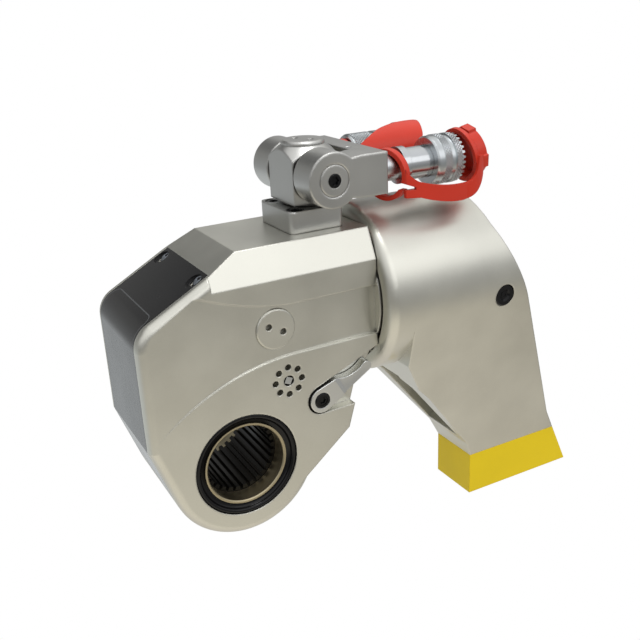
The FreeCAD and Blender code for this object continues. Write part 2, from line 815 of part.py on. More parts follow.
def build_crank():
    """The two drive plates and the pawl carrier that they hold between them."""
    reach, hub, boss = "pin_distance", "plate_hub", "pin_boss"
    lean = f"(({hub} - {boss}) / {reach})"
    level = f"sqrt(1 - {lean} ^ 2)"
    for name, side in SIDES.items():
        plate = new_body(f"{name}_drive_plate")
        low, high = ("-plate_outer", "-plate_inner") if side == NEAR else ("plate_inner", "plate_outer")
        prism(plate, "XZ", low, high, [
            (f"{hub} * {level}", f"{hub} * {lean}", hub, 1),
            (f"{boss} * {level}", f"{reach} + {boss} * {lean}"),
            ("0", f"{reach} + {boss}", boss, 1),
            (f"-{boss} * {level}", f"{reach} + {boss} * {lean}", boss, 1),
            (f"-{hub} * {level}", f"{hub} * {lean}"),
            ("0", f"-{hub}", hub, 1),
        ])
        hole(plate, "XZ", low, high, "0", "0", "journal_radius + running_gap")
        half = "(pin_radius + slot_play)"
        prism(plate, "XZ", low, high, [
            (half, "slot_high"),
            ("0", f"slot_high + {half}", half, 1), (f"-{half}", "slot_high", half, 1),
            (f"-{half}", "slot_low"),
            ("0", f"slot_low - {half}", half, 1), (half, "slot_low", half, 1),
        ], cut=True)
        keep(f"{name}_drive_plate", plate)
        place(plate, axis="Y", angle=CRANK_LINE)
    carrier = new_body("pawl_carrier")
    cheek, slot = "carrier_half_width", "(pawl_half_width + 0.1)"
    bridge = "(carrier_high - carrier_bridge)"
    prism(carrier, "XZ", "-plate_inner", "plate_inner", [
        (f"-{cheek}", "carrier_low"), (f"-{slot}", "carrier_low"), (f"-{slot}", bridge), (slot, bridge),
        (slot, "carrier_low"), (cheek, "carrier_low"), (cheek, "carrier_high"), (f"-{cheek}", "carrier_high")])
    keep("pawl_carrier", carrier)
    place(carrier, axis="Y", angle=PAWL_LINE)
    dowels = new_body("carrier_dowels")
    for side in SIDES.values():
        spot = (f"{side} * carrier_half_width * 0.7", "carrier_high - carrier_bridge / 2")
        disc(dowels, "XZ", "-plate_outer", "plate_outer", *spot, "dowel_radius")
        hole(carrier, "XZ", "-plate_inner", "plate_inner", *spot, "dowel_radius")
    keep("carrier_dowels", dowels)
    place(dowels, axis="Y", angle=PAWL_LINE)
    swing = "-pawl_lean"
    for name, side in SIDES.items():
        plate = parts[f"{name}_drive_plate"]
        low, high = ("-plate_outer", "-plate_inner") if side == NEAR else ("plate_inner", "plate_outer")
        for shift in SIDES.values():
            out = f"({shift} * carrier_half_width * 0.7)"
            rise = "(carrier_high - carrier_bridge / 2)"
            hole(plate, "XZ", low, high, f"{out} * cos({swing}) + {rise} * sin({swing})",
                 f"{rise} * cos({swing}) - {out} * sin({swing})", "dowel_radius")


def pawl_teeth(count):
    """The lower edge of a pawl with teeth that fit the wheel's valleys, from left to right."""
    gap = "pawl_mesh_gap"
    low = f"(tooth_root + {gap})"
    high = f"(tooth_tip + {gap})"
    corners = []
    for number in range(count):
        turn = f"((({number} - ({count} - 1) / 2)) * tooth_pitch)"
        for half, radius in (("-3.5", high), ("-0.35", low), ("0.35", low), ("3.5", high)):
            corners.append((f"{half} * cos({turn}) + {radius} * sin({turn})",
                            f"{radius} * cos({turn}) - ({half}) * sin({turn})"))
    return corners


def build_drive_pawl():
    """The drive pawl in its carrier, stored lifted off the teeth, and its two springs."""
    pawl = new_body("drive_pawl")
    top = "(tooth_root + pawl_mesh_gap + pawl_length)"
    prism(pawl, "XZ", "-wheel_half_width + 0.3", "wheel_half_width - 0.3",
          pawl_teeth(2) + [("pawl_half_width", "tooth_tip + 1.6"), ("pawl_half_width", top),
                           ("-pawl_half_width", top), ("-pawl_half_width", "tooth_tip + 1.6")])
    for side in SIDES.values():
        hole(pawl, "XY", f"{top} - spring_seat", top, "0", f"{side} * wheel_half_width / 2", "spring_radius + 0.2")
    keep("drive_pawl", pawl)
    line = PAWL_LINE
    place(pawl, across=f"pawl_lift * sin({line})", up=f"pawl_lift * cos({line})", axis="Y", angle=line)
    springs = new_body("drive_pawl_springs")
    foot = f"({top} - spring_seat + pawl_lift)"
    for side in SIDES.values():
        disc(springs, "XY", foot, "carrier_high - carrier_bridge", "0", f"{side} * wheel_half_width / 2",
             "spring_radius")
        hole(springs, "XY", foot, "carrier_high - carrier_bridge", "0", f"{side} * wheel_half_width / 2",
             "spring_radius - spring_wire")
    keep("drive_pawl_springs", springs)
    place(springs, axis="Y", angle=line)


# Piston and cylinder
def build_piston():
    """The piston, its seal, the rod with its eye, the cross pin and the cylinder's closures."""
    front, back = "piston_front", "(piston_front + piston_length)"
    middle = f"({front} + piston_length / 2)"
    low, high = f"({middle} - seal_width / 2)", f"({middle} + seal_width / 2)"
    floor = "(piston_radius - seal_depth)"
    piston = turned("piston", [
        (front, "rod_radius - 2"), (back, "rod_radius - 2"), (back, "piston_radius - 1"),
        (f"{back} - 1", "piston_radius"), (high, "piston_radius"), (high, floor), (low, floor),
        (low, "piston_radius"), (f"{front} + 1", "piston_radius"), (front, "piston_radius - 1")])
    place(piston, up="cylinder_height")
    place(tube("piston_seal", low, high, "piston_radius", floor), up="cylinder_height")
    rod = turned("piston_rod", [
        ("pin_reach - rod_radius", "0"), (f"{back} + nut_length", "0"), (f"{back} + nut_length", "rod_radius - 2"),
        (front, "rod_radius - 2"), (front, "rod_radius"), ("pin_reach - rod_radius * 0.5", "rod_radius"),
        ("pin_reach - rod_radius", "rod_radius * 0.5", "rod_radius * 0.5", 1)])
    hole(rod, "XZ", "-rod_radius", "rod_radius", "pin_reach", "0", "pin_radius")
    place(rod, up="cylinder_height")
    nut = tube("piston_nut", back, f"{back} + nut_length", "nut_radius + 5", "rod_radius - 2")
    place(nut, up="cylinder_height")
    cross = pin("rod_pin", "-plate_outer", "plate_outer", "pin_radius")
    place(cross, across="pin_reach", up="cylinder_height", axis="Z", angle="90")
    gland = turned("rod_gland", [
        ("gland_front", "rod_radius + running_gap"), ("cylinder_front - seal_width", "rod_radius + running_gap"),
        ("cylinder_front - seal_width", "rod_radius + seal_depth"), ("cylinder_front", "rod_radius + seal_depth"),
        ("cylinder_front", "gland_radius"), ("gland_front", "gland_radius")])
    place(gland, up="cylinder_height")
    place(tube("rod_seal", "cylinder_front - seal_width", "cylinder_front", "rod_radius + seal_depth",
               "rod_radius + running_gap"), up="cylinder_height")
    groove_low, groove_high = "(cap_front + 2.5)", "(cap_front + 2.5 + seal_width * 0.75)"
    neck_low, neck_high = "(latch_reach - latch_stem - 0.4)", "(latch_reach + latch_stem + 0.4)"
    stud_end = "(cylinder_end + stud_length)"
    closure = turned("cylinder_end_cap", [
        ("cap_front", "0"), (stud_end, "0"), (stud_end, "stud_radius - 1.5"), (f"{stud_end} - 1.5", "stud_radius"),
        (neck_high, "stud_radius"), (neck_high, "stud_neck"), (neck_low, "stud_neck"), (neck_low, "stud_radius"),
        ("cylinder_end", "stud_radius"), ("cylinder_end", "cylinder_bore"), (groove_high, "cylinder_bore"),
        (groove_high, "cylinder_bore - 2"), (groove_low, "cylinder_bore - 2"), (groove_low, "cylinder_bore"),
        ("cap_front", "cylinder_bore")])
    place(closure, up="cylinder_height")
    place(tube("end_cap_seal", groove_low, groove_high, "cylinder_bore", "cylinder_bore - 2"),
          up="cylinder_height")


# Reaction pawl
def build_reaction_pawl():
    """The pawl that holds the wheel, its shaft and spring, and the release lever on the near face."""
    nose = f"({PAWL_LINE} + tooth_pitch * 1.5)"
    gap = "pawl_mesh_gap"
    low, high = f"(tooth_root + {gap})", f"(tooth_tip + {gap} + 0.4)"
    def on_wheel(half, radius):
        return (f"{half} * cos({nose}) + {radius} * sin({nose})", f"{radius} * cos({nose}) - ({half}) * sin({nose})")
    pawl = new_body("reaction_pawl")
    prism(pawl, "XZ", "-wheel_half_width", "wheel_half_width", [
        on_wheel("-3.4", high), on_wheel("-0.35", low), on_wheel("0.35", low), on_wheel("3.4", high),
        ("pivot_reach - pawl_hub * 0.5", "pivot_height - pawl_hub * 0.866"),
        ("pivot_reach", "pivot_height + pawl_hub"),
        on_wheel("-1.5", f"({high} + 5)")])
    disc(pawl, "XZ", "-wheel_half_width", "wheel_half_width", "pivot_reach", "pivot_height", "pawl_hub")
    hole(pawl, "XZ", "-wheel_half_width", "wheel_half_width", "pivot_reach", "pivot_height", "shaft_radius")
    keep("reaction_pawl", pawl)
    face = "(half_width - lever_pocket_depth + 0.3)"
    shaft = pin("pawl_shaft", "-shaft_end + 0.5", face, "shaft_radius")
    place(shaft, across="pivot_reach", up="pivot_height", axis="Z", angle="-90")
    lever = new_body("release_lever")
    low, high = f"-({face} + lever_thickness)", f"-{face}"
    head, tip = "lever_head", "lever_tip_radius"
    prism(lever, "XZ", low, high, [
        ("0", f"-{head}", head, 1),
        ("lever_reach", f"-{head}"),
        (f"lever_reach + {tip}", f"{tip} - {head}", tip, 1),
        ("lever_reach", f"{tip} * 2 - {head}", tip, 1),
        ("lever_brow", "lever_brow_height", "lever_hollow", -1),
        (f"{head} * sin(lever_brow_turn)", f"{head} * cos(lever_brow_turn)"),
        (f"-{head}", "0", head, 1),
    ])
    prism(lever, "XY", f"-{head} - 1", f"{head} + 1", [
        ("lever_brow", f"{low} - 1"),
        (f"lever_reach + {tip} + 1", f"{low} - 1"),
        (f"lever_reach + {tip} + 1", f"{low} + lever_step"),
        ("lever_brow + lever_bevel / 2", f"{low} + lever_step"),
        ("lever_brow - lever_bevel / 2", low),
        ("lever_brow", low),
    ], cut=True)
    hole(lever, "XZ", low, high, "0", "0", "shaft_radius - 1.2")
    keep("release_lever", lever)
    place(lever, across="pivot_reach", up="pivot_height", axis="Y", angle="-lever_lean")
    screw = turned("lever_screw", [
        (face, "0"), (f"{face} + lever_thickness - 1.5", "0"), (f"{face} + lever_thickness - 1.5", "lever_socket"),
        (f"{face} + lever_thickness + 0.4", "lever_socket"), (f"{face} + lever_thickness + 0.4", "shaft_radius - 1.8"),
        (f"{face} + lever_thickness - 0.2", "shaft_radius - 1.2"), (face, "shaft_radius - 1.2")])
    place(screw, across="pivot_reach", up="pivot_height", axis="Z", angle="-90")
    spring = tube("pawl_spring", "wheel_half_width + 0.2", "cavity_half_width", "pawl_hub - 0.4",
                  "shaft_radius + 0.3")
    place(spring, across="pivot_reach", up="pivot_height", axis="Z", angle="-90")
    anchor = new_body("spring_anchor")
    half = "anchor_square / 2"
    depth = "anchor_depth + 3 - half_width"
    disc(anchor, "XZ", "2.5 - half_width", depth, "0", "0", "anchor_bore")
    prism(anchor, "XZ", "0.4 - half_width", "3 - half_width",
          [(f"-{half}", f"-{half}"), (half, f"-{half}"), (half, half), (f"-{half}", half)])
    keep("spring_anchor", anchor)
    place(anchor, across="anchor_reach", up="anchor_height", axis="Y", angle="25")


# Reaction arm
def build_arm():
    """The reaction arm: a splined sleeve and a leg that leans back to the foot, tapering to its width."""
    leg = new_body("leg_side_view")
    prism(leg, "XZ", "-arm_radius", "arm_radius", [
        ("leg_front", "cylinder_height + arm_radius + 1"),
        ("leg_front", "leg_arris"),
        ("leg_step", "leg_step_height"),
        ("leg_knee", "leg_knee_height"),
        ("leg_ankle", "leg_ankle_height"),
        ("foot_front", "foot_top"),
        ("foot_front", "foot_bottom"),
        ("foot_heel_bottom", "foot_bottom"),
        ("foot_heel_top", "foot_top"),
        ("heel_kink", "heel_kink_height"),
        ("back_top", "back_top_height"),
        ("crown_back", "cylinder_height + arm_radius + 1"),
    ])
    front = new_body("leg_front_view")
    drop = "(cylinder_height - foot_top)"
    far = f"sqrt({drop} ^ 2 + foot_half_width ^ 2)"
    lean = f"(asin(arm_radius / {far}) - atan2(foot_half_width; {drop}))"
    prism(front, "YZ", "leg_front - 1", "foot_heel_bottom + 1", [
        ("-foot_half_width", "foot_top"),
        ("-foot_half_width", "foot_bottom - 1"),
        ("foot_half_width", "foot_bottom - 1"),
        ("foot_half_width", "foot_top"),
        (f"arm_radius * cos({lean})", f"cylinder_height - arm_radius * sin({lean})"),
        ("0", "cylinder_height + arm_radius", "arm_radius", 1),
        (f"-arm_radius * cos({lean})", f"cylinder_height - arm_radius * sin({lean})", "arm_radius", 1),
    ])
    leg_form = doc.addObject("Part::Common", "LegForm")
    leg_form.Base = leg
    leg_form.Tool = front
    sleeve = new_body("sleeve")
    sketch = new_sketch(sleeve, "XZ")
    lip = "arm_lip_radius"
    draw_outline(sketch, [
        ("arm_front", "arm_mouth"), ("leg_front + 12", "arm_mouth"), ("leg_front + 12", "arm_radius"),
        (f"arm_front + {lip}", "arm_radius"), ("arm_front", f"arm_radius - {lip}", lip, 1)])
    turning = sleeve.newObject("PartDesign::Revolution", "Turning")
    turning.Profile = sketch
    turning.ReferenceAxis = (sketch, ["H_Axis"])
    turning.Angle = 360
    place(sleeve, up="cylinder_height")
    whole = doc.addObject("Part::Fuse", "ArmForm")
    whole.Base = leg_form
    whole.Tool = sleeve
    hollow = new_body("arm_hollow")
    start = "(arm_front + arm_mouth_depth - arm_spline_gap)"
    stop = "(arm_front + arm_mouth_depth + arm_spline_length + arm_spline_gap)"
    disc(hollow, "YZ", "arm_front - 1", "arm_front + arm_mouth_depth", "0", "cylinder_height", "arm_mouth")
    disc(hollow, "YZ", "arm_front", "arm_wall", "0", "cylinder_height", "spigot_radius + running_gap")
    sketch = centred_sketch(hollow, "YZ", start, "0", "cylinder_height")
    spline_tooth(sketch, "spigot_radius - 0.5", "arm_spline_tip + arm_spline_gap", "(arm_spline_width + 0.5)")
    tooth = run_out(hollow, sketch, "YZ", start, stop, False)
    repeat_round(hollow, tooth, sketch, "arm_spline_count")
    disc(hollow, "YZ", "arm_wall - 1", "foot_heel_top", "0", "cylinder_height", "stud_radius + 1")
    disc(hollow, "XZ", "-arm_radius - 1", "stud_radius + latch_travel + 5", "latch_reach", "latch_height",
         "latch_stem + running_gap")
    disc(hollow, "XZ", "-arm_radius - 1", "-arm_radius + latch_head_length + latch_travel + 3", "latch_reach",
         "latch_height", "latch_head + running_gap")
    bored = doc.addObject("Part::Cut", "BoredArm")
    bored.Base = whole
    bored.Tool = hollow
    pocket = new_body("leg_pocket")
    flange = "leg_pocket_flange"
    prism(pocket, "XZ", f"{flange} - foot_half_width - 6", f"foot_half_width + 6 - {flange}", [
        ("leg_step + 3", "leg_step_height + 6"),
        ("leg_step - 6", "leg_step_height - 4"),
        ("leg_knee - 8", "leg_knee_height - 8"),
        ("leg_ankle - 12", "leg_ankle_height + 2"),
        ("leg_ankle - 2 + leg_pocket_depth", "leg_ankle_height + 12"),
        ("leg_knee + leg_pocket_depth", "leg_knee_height + 4")])
    channelled = doc.addObject("Part::Cut", "ChannelledArm")
    channelled.Base = bored
    channelled.Tool = pocket
    coat = new_body("foot_core")
    thick = "coat_thickness"
    heel = "((foot_heel_bottom - foot_heel_top) / (foot_top - foot_bottom))"
    slant = f"sqrt(1 + {heel} ^ 2)"
    core = [
        (f"foot_front + {thick}", f"foot_bottom + {thick}"),
        (f"foot_heel_bottom - {thick} * {slant} - {thick} * {heel}", f"foot_bottom + {thick}"),
        (f"foot_heel_top - {thick} * {slant}", "foot_top"),
        (f"foot_front + {thick}", "foot_top"),
    ]
    prism(coat, "XZ", f"{thick} - foot_half_width", f"foot_half_width - {thick}", core)
    shell = new_body("foot_coat")
    prism(shell, "XZ", "-foot_half_width", "foot_half_width", [
        ("foot_front", "foot_bottom"), ("foot_heel_bottom", "foot_bottom"),
        ("foot_heel_top", "foot_top"), ("foot_front", "foot_top")])
    upright = value("foot_front"), value("foot_half_width")
    prism(shell, "XZ", f"{thick} - foot_half_width", f"foot_half_width - {thick}", core, cut=True)
    keep("foot_coat", shell)
    arm = doc.addObject("Part::Cut", "reaction_arm")
    arm.Base = channelled
    arm.Tool = shell
    keep("reaction_arm", arm)


def build_latch():
    """The push button on the arm's flank: its stem crosses behind the stud's neck until it is pressed."""
    face = "(arm_radius - 0.6)"
    button = turned("latch_button", [
        ("-stud_radius - 4", "0"), (f"{face} - 1.2", "0"), (f"{face} - 1.2", "latch_head * 0.4"),
        (face, "latch_head * 0.55"), (face, "latch_head - 0.8"), (f"{face} - 0.8", "latch_head"),
        (f"{face} - latch_head_length", "latch_head"), (f"{face} - latch_head_length", "latch_stem"),
        ("-stud_radius - 4", "latch_stem")])
    floor = "(cylinder_height - stud_radius - latch_height - 0.4)"
    prism(button, "XZ", "-latch_stem - 1", "latch_stem + 1", [
        ("latch_travel - latch_scallop", "latch_stem + 1"), ("latch_travel - latch_scallop", f"{floor} + 1"),
        ("latch_travel - latch_scallop + 1", floor), ("latch_travel + latch_scallop - 1", floor),
        ("latch_travel + latch_scallop", f"{floor} + 1"), ("latch_travel + latch_scallop", "latch_stem + 1")],
        cut=True)
    place(button, across="latch_reach", up="latch_height", axis="Z", angle="-90")
    spring = tube("latch_spring", f"{face} - latch_head_length - latch_travel - 2.4", f"{face} - latch_head_length",
                  "latch_head - 0.6", "latch_stem + 0.6")
    place(spring, across="latch_reach", up="latch_height", axis="Z", angle="-90")


# Swivel
def build_swivel_base():
    """The swivel's base plate, bolted to the housing's top."""
    base = new_body("swivel_base")
    plate = prism(base, "XY", "top_height", "base_top", [
        ("base_left", "-base_half_width"), ("base_right", "-base_half_width"),
        ("base_right", "base_half_width"), ("base_left", "base_half_width")])
    soften(base, plate, lambda edge, middle: abs(edge.Vertexes[0].Z - edge.Vertexes[-1].Z) > 5, "base_corner")
    hole(base, "XY", "top_height", "base_top", "swivel_reach", "0", "stem_radius + running_gap")
    screws = new_body("base_screws")
    top, floor = "(base_top - 0.6)", "(base_top - base_screw_depth)"
    for across in ("base_left + base_screw_inset", "base_right - base_screw_inset"):
        for side in SIDES.values():
            spot = (across, f"{side} * (base_half_width - base_screw_inset)")
            hole(base, "XY", floor, "base_top + 1", *spot, "base_screw_head + 0.3")
            hole(base, "XY", "top_height - 1", floor, *spot, "base_screw_radius")
            disc(screws, "XY", "top_height", floor, *spot, "base_screw_radius")
            disc(screws, "XY", floor, top, *spot, "base_screw_head")
            hole(screws, "XY", f"{top} - 2.4", top, *spot, "base_screw_head * 0.5")
    keep("swivel_base", base)
    keep("base_screws", screws)


def build_post():
    """The swivel post: square with a coned top, on a round neck and stem, with its cap and washers."""
    block = new_body("post_block")
    prism(block, "XY", "post_foot", "post_top", [
        ("-post_half_depth", "-post_half_width"), ("post_half_depth", "-post_half_width"),
        ("post_half_depth", "post_half_width"), ("-post_half_depth", "post_half_width")])
    place(block, across="swivel_reach")
    low = "(base_top - stem_length)"
    wide = "(post_half_depth * 1.6)"
    form = new_body("post_turning")
    sketch = new_sketch(form, "XZ")
    draw_outline(sketch, [
        ("post_foot", "0"), ("post_top", "0"), ("post_top", "post_cap_radius"),
        (f"post_face_height - post_cone_fall * ({wide} - post_half_depth)", wide), ("post_foot", wide)])
    turning = form.newObject("PartDesign::Revolution", "Turning")
    turning.Profile = sketch
    turning.ReferenceAxis = (sketch, ["H_Axis"])
    place(form, across="swivel_reach", axis="Y", angle="-90")
    coned = doc.addObject("Part::Common", "ConedPost")
    coned.Base = block
    coned.Tool = form
    stem = new_body("post_stem")
    sketch = new_sketch(stem, "XZ")
    draw_outline(sketch, [
        (low, "0"), ("post_foot + 2", "0"), ("post_foot + 2", "neck_radius"), ("base_top + side_gap", "neck_radius"),
        ("base_top + side_gap", "stem_radius"), (f"{low} + 1", "stem_radius"), (low, "stem_radius - 1")])
    turning = stem.newObject("PartDesign::Revolution", "Turning")
    turning.Profile = sketch
    turning.ReferenceAxis = (sketch, ["H_Axis"])
    place(stem, across="swivel_reach", axis="Y", angle="-90")
    whole = doc.addObject("Part::Fuse", "PostForm")
    whole.Base = coned
    whole.Tool = stem
    bores = new_body("post_bores")
    disc(bores, "XZ", "-post_half_width - 1", "post_half_width + 1", "swivel_reach", "tilt_height",
         "axle_radius + running_gap")
    disc(bores, "XY", "post_top - 5", "post_top + 1", "swivel_reach", "0", "post_cap_radius - 3.4")
    post = doc.addObject("Part::Cut", "swivel_post")
    post.Base = whole
    post.Tool = bores
    keep("swivel_post", post)
    cap = turned("post_cap", [
        ("post_top - 5", "0"), ("post_top + post_cap_height", "0"),
        ("post_top + post_cap_height", "post_cap_radius - 1"), ("post_top + post_cap_height - 1", "post_cap_radius"),
        ("post_top", "post_cap_radius"), ("post_top", "post_cap_radius - 3.4"),
        ("post_top - 5", "post_cap_radius - 3.4")])
    for side in SIDES.values():
        hole(cap, "YZ", "post_top + post_cap_height - 3", "post_top + post_cap_height",
             f"{side} * post_cap_radius * 0.38", f"{side} * post_cap_radius * 0.2", "plug_hole")
    place(cap, across="swivel_reach", axis="Y", angle="-90")
    washers = new_body("tilt_washers")
    for low, high in (("-ear_inner + side_gap", "-post_half_width"), ("post_half_width", "ear_inner - side_gap")):
        disc(washers, "XZ", low, high, "0", "0", "axle_radius + 4")
        hole(washers, "XZ", low, high, "0", "0", "axle_radius + running_gap")
    keep("tilt_washers", washers)
    place(washers, across="swivel_reach", up="tilt_height")


def build_yoke():
    """The yoke: two round ears that waist into the block that carries both couplers."""
    yoke = new_body("yoke")
    high = "yoke_half_height"
    ear = "ear_radius"
    rise = f"({high} - 0.8)"
    start = f"sqrt({ear} ^ 2 - {rise} ^ 2)"
    prism(yoke, "XZ", "-yoke_half_width", "yoke_half_width", [
        (start, f"-{rise}", ear, 1),
        ("yoke_waist", f"-{high}"),
        ("yoke_end - swivel_reach", f"-{high}"),
        ("yoke_end - swivel_reach", high),
        ("yoke_waist", high),
        (start, rise),
        ("0", ear, ear, 1),
        (f"-{ear}", "0", ear, 1),
        ("0", f"-{ear}", ear, 1),
    ])
    clear = "yoke_clearance"
    prism(yoke, "XZ", "-ear_inner", "ear_inner", [
        ("0", f"-{clear}"), (clear, "0", clear, 1), ("0", clear, clear, 1),
        (f"-{clear}", clear), (f"-{clear}", f"-{clear}")], cut=True)
    hole(yoke, "XZ", "-yoke_half_width", "yoke_half_width", "0", "0", "axle_radius")
    for side in SIDES.values():
        hole(yoke, "YZ", "yoke_end - swivel_reach - adapter_thread", "yoke_end - swivel_reach + 1",
             f"{side} * coupler_side", "0", "adapter_radius - 1")
    hole(yoke, "XY", f"{high} - 3", f"{high} + 1", "23.3", "-10", "1.6")
    keep("yoke", yoke)
    place(yoke, across="swivel_reach", up="tilt_height")
    plug = new_body("passage_plug")
    disc(plug, "XY", f"{high} - 3", f"{high} - 0.2", "0", "0", "1.6")
    keep("passage_plug", plug)
    place(plug, across="swivel_reach + 23.3", along="-10", up="tilt_height")
    axle = pin("tilt_axle", "-yoke_half_width", "yoke_half_width", "axle_radius", "0.4")
    for low, high in (("-yoke_half_width", "socket_depth - yoke_half_width"),
                      ("yoke_half_width - socket_depth", "yoke_half_width")):
        side = "socket_radius / 2"
        flat = "socket_radius * 0.866"
        prism(axle, "YZ", low, high, [
            ("socket_radius", "0"), (side, flat), (f"-{side}", flat), ("-socket_radius", "0"),
            (f"-{side}", f"-{flat}"), (side, f"-{flat}")], cut=True)
    place(axle, across="swivel_reach", up="tilt_height", axis="Z", angle="90")


# Couplers
def knurled_outline(start, stop, radius, bore, skirt):
    """The section of a collar: a smooth skirt, a knurled band, a groove and a second knurled band."""
    low = f"({radius} - collar_groove)"
    band = f"({stop} - collar_band)"
    groove = f"({band} - collar_groove_width)"
    return [
        (start, bore), (stop, bore), (stop, f"{radius} - 0.5"), (f"{stop} - 0.5", radius),
        (band, radius), (f"{band} - 0.5", low), (f"{groove} + 0.5", low),
        (groove, radius), (f"{start} + {skirt} + 0.4", radius), (f"{start} + {skirt}", f"{radius} - 0.4"),
        (f"{start} + 1", f"{radius} - 0.4"), (start, f"{radius} - 1.2")]


def build_couplers():
    """Both couplers: adapter, body, spinning collar and valve, on the yoke's rear face."""
    setup = {
        "near": ("near_collar_start", "near_coupler_end", "near_coupler_end", "near_collar_radius"),
        "far": ("far_collar_start", "far_collar_end", "far_coupler_end", "far_collar_radius"),
    }
    for name, side in SIDES.items():
        start, stop, end, radius = setup[name]
        where = {"along": f"{side} * coupler_side", "up": "tilt_height"}
        joint = "adapter_end" if name == "near" else start
        adapter = turned(f"{name}_adapter", [
            ("yoke_end - adapter_thread", "0"), (joint, "0"), (joint, "adapter_radius"), ("yoke_end", "adapter_radius"),
            ("yoke_end", "adapter_radius - 1"), ("yoke_end - adapter_thread", "adapter_radius - 1")])
        place(adapter, **where)
        shoulder = f"({joint} + near_flange)"
        foot = [(joint, "coupler_radius")] if name == "far" else [
            (shoulder, "coupler_radius"), (shoulder, "near_flange_radius"), (joint, "near_flange_radius")]
        body = turned(f"{name}_coupler_body", [
            (joint, "0"), (f"{end} - 12", "0"), (f"{end} - 12", "nose_bore"), (f"{end} - 0.6", "nose_bore"),
            (f"{end} - 0.6", "coupler_radius - 1"), (f"{end} - 1.6", "coupler_radius"), *foot])
        place(body, **where)
        collar = turned(f"{name}_collar", knurled_outline(start, stop, radius, "coupler_radius + running_gap",
                                                          f"{name}_collar_skirt"))
        place(collar, **where)
        valve = turned(f"{name}_valve", [
            (f"{end} - 12", "0"), (f"{end} - 2", "0"), (f"{end} - 5", "valve_radius"), (f"{end} - 12", "valve_radius")])
        place(valve, **where)


def build_cap(name, side):
    """The cup of one dust cap: a beaded rim at its mouth and four grips round its closed end."""
    outer = "(cap_bore + dust_cap_wall)"
    end = "(cap_depth + dust_cap_wall)"
    bead = f"({outer} + cap_flare + cap_bead)"
    cup = new_body(f"{name}_cup")
    sketch = new_sketch(cup, "XZ")
    draw_outline(sketch, [
        ("cap_rim", "cap_bore"), ("cap_depth", "cap_bore"), ("cap_depth", "0"), (end, "0"), (end, f"{outer} - 2"),
        (f"{end} - 2", outer, "2", 1), ("cap_rim + 1", outer), ("cap_rim", bead), ("0", bead),
        ("0", "cap_bore + cap_flare")])
    turning = cup.newObject("PartDesign::Revolution", "Turning")
    turning.Profile = sketch
    turning.ReferenceAxis = (sketch, ["H_Axis"])
    start = "(cap_rim + 1.5)"
    sketch = new_sketch(cup, "YZ", start)
    sketch.AttachmentOffset = FreeCAD.Placement(V(0, 0, 0), FreeCAD.Rotation(AXES["Z"], value("lug_turn")))
    sketch.setExpression("AttachmentOffset.Rotation.Angle", sized("lug_turn"))
    high = f"({outer} + lug_height)"
    draw_outline(sketch, [("-lug_width / 2", "cap_bore + 0.5"), ("lug_width / 2", "cap_bore + 0.5"),
                          ("lug_width / 2 - 0.6", high), ("0.6 - lug_width / 2", high)])
    lug = run_out(cup, sketch, "YZ", start, f"{end} - 1", False)
    repeat_round(cup, lug, sketch, "lug_count")
    place(cup, across=f"{name}_cap_lead", along=f"{side} * coupler_side", up=f"tilt_height + {name}_cap_rise",
          axis="Y", angle=f"-{name}_cap_tilt")
    return cup


def build_loop(name, side):
    """The loop of one strap: it hangs on the coupler's neck, turned a little about the upright."""
    loop = new_body(f"{name}_loop")
    disc(loop, "YZ", "-loop_width / 2", "loop_width / 2", "0", "0", "loop_bore + loop_wall")
    hole(loop, "YZ", "-loop_width / 2", "loop_width / 2", "0", "0", "loop_bore")
    place(loop, across=f"{name}_loop_reach", along=f"{side} * coupler_side",
          up="tilt_height + adapter_radius - loop_bore - running_gap", axis="Z", angle=f"{name}_loop_turn")
    return loop


def meet(name, first, second):
    """What two forms have in common."""
    common = doc.addObject("Part::Common", name)
    common.Base = first
    common.Tool = second
    return common


def build_near_band():
    """The near strap's band: where its plan view, which bows out to the near side, meets its side view."""
    thick = "strap_thickness"
    spread, curl = "(strap_waist - strap_start)", "((strap_end - strap_hip) * 1.1)"
    sweep = "((strap_hip - strap_waist) * 3)"
    plan = new_body("near_band_plan")
    prism(plan, "XY", "-strap_width * 3", "strap_width * 3", [
        ("strap_start", "-strap_root"),
        ("strap_waist", f"{thick} - strap_bow + 0.5", f"{spread} * 2.6", 1),
        ("strap_hip", f"{thick} - strap_bow", sweep, 1),
        ("strap_end", "-strap_landing", curl, 1),
        ("strap_end + 0.6", f"-strap_landing - {thick}"),
        ("strap_hip", "-strap_bow", f"{curl} + {thick}", -1),
        ("strap_waist", "0.5 - strap_bow", f"{sweep} + {thick}", -1),
        ("strap_start", f"-strap_root - {thick}", f"{spread} * 2.6 + {thick}", -1),
    ])
    view = new_body("near_band_view")
    prism(view, "XZ", "-coupler_spread", "0", [
        ("strap_start", "0"),
        ("strap_waist", "strap_top", f"{spread} * 2", 1),
        ("strap_hip", "strap_low", sweep, 1),
        ("strap_end - 5", "strap_low + strap_width * 0.9", "strap_width", 1),
        ("strap_end - 4", "2"),
        ("strap_end + 1", "2"),
        ("strap_end + 0.4", "strap_low + strap_width / 3"),
        ("strap_end - 6", "strap_floor + strap_width / 3", "strap_width * 2", -1),
        ("strap_hip - 5", "strap_floor", "strap_width * 2", -1),
        ("strap_waist", "strap_top - strap_width + 0.6", sweep, -1),
        ("strap_start", "strap_top - strap_width + 1"),
    ])
    for form in (plan, view):
        place(form, along="-coupler_side", up="tilt_height")
    return meet("near_band", plan, view)


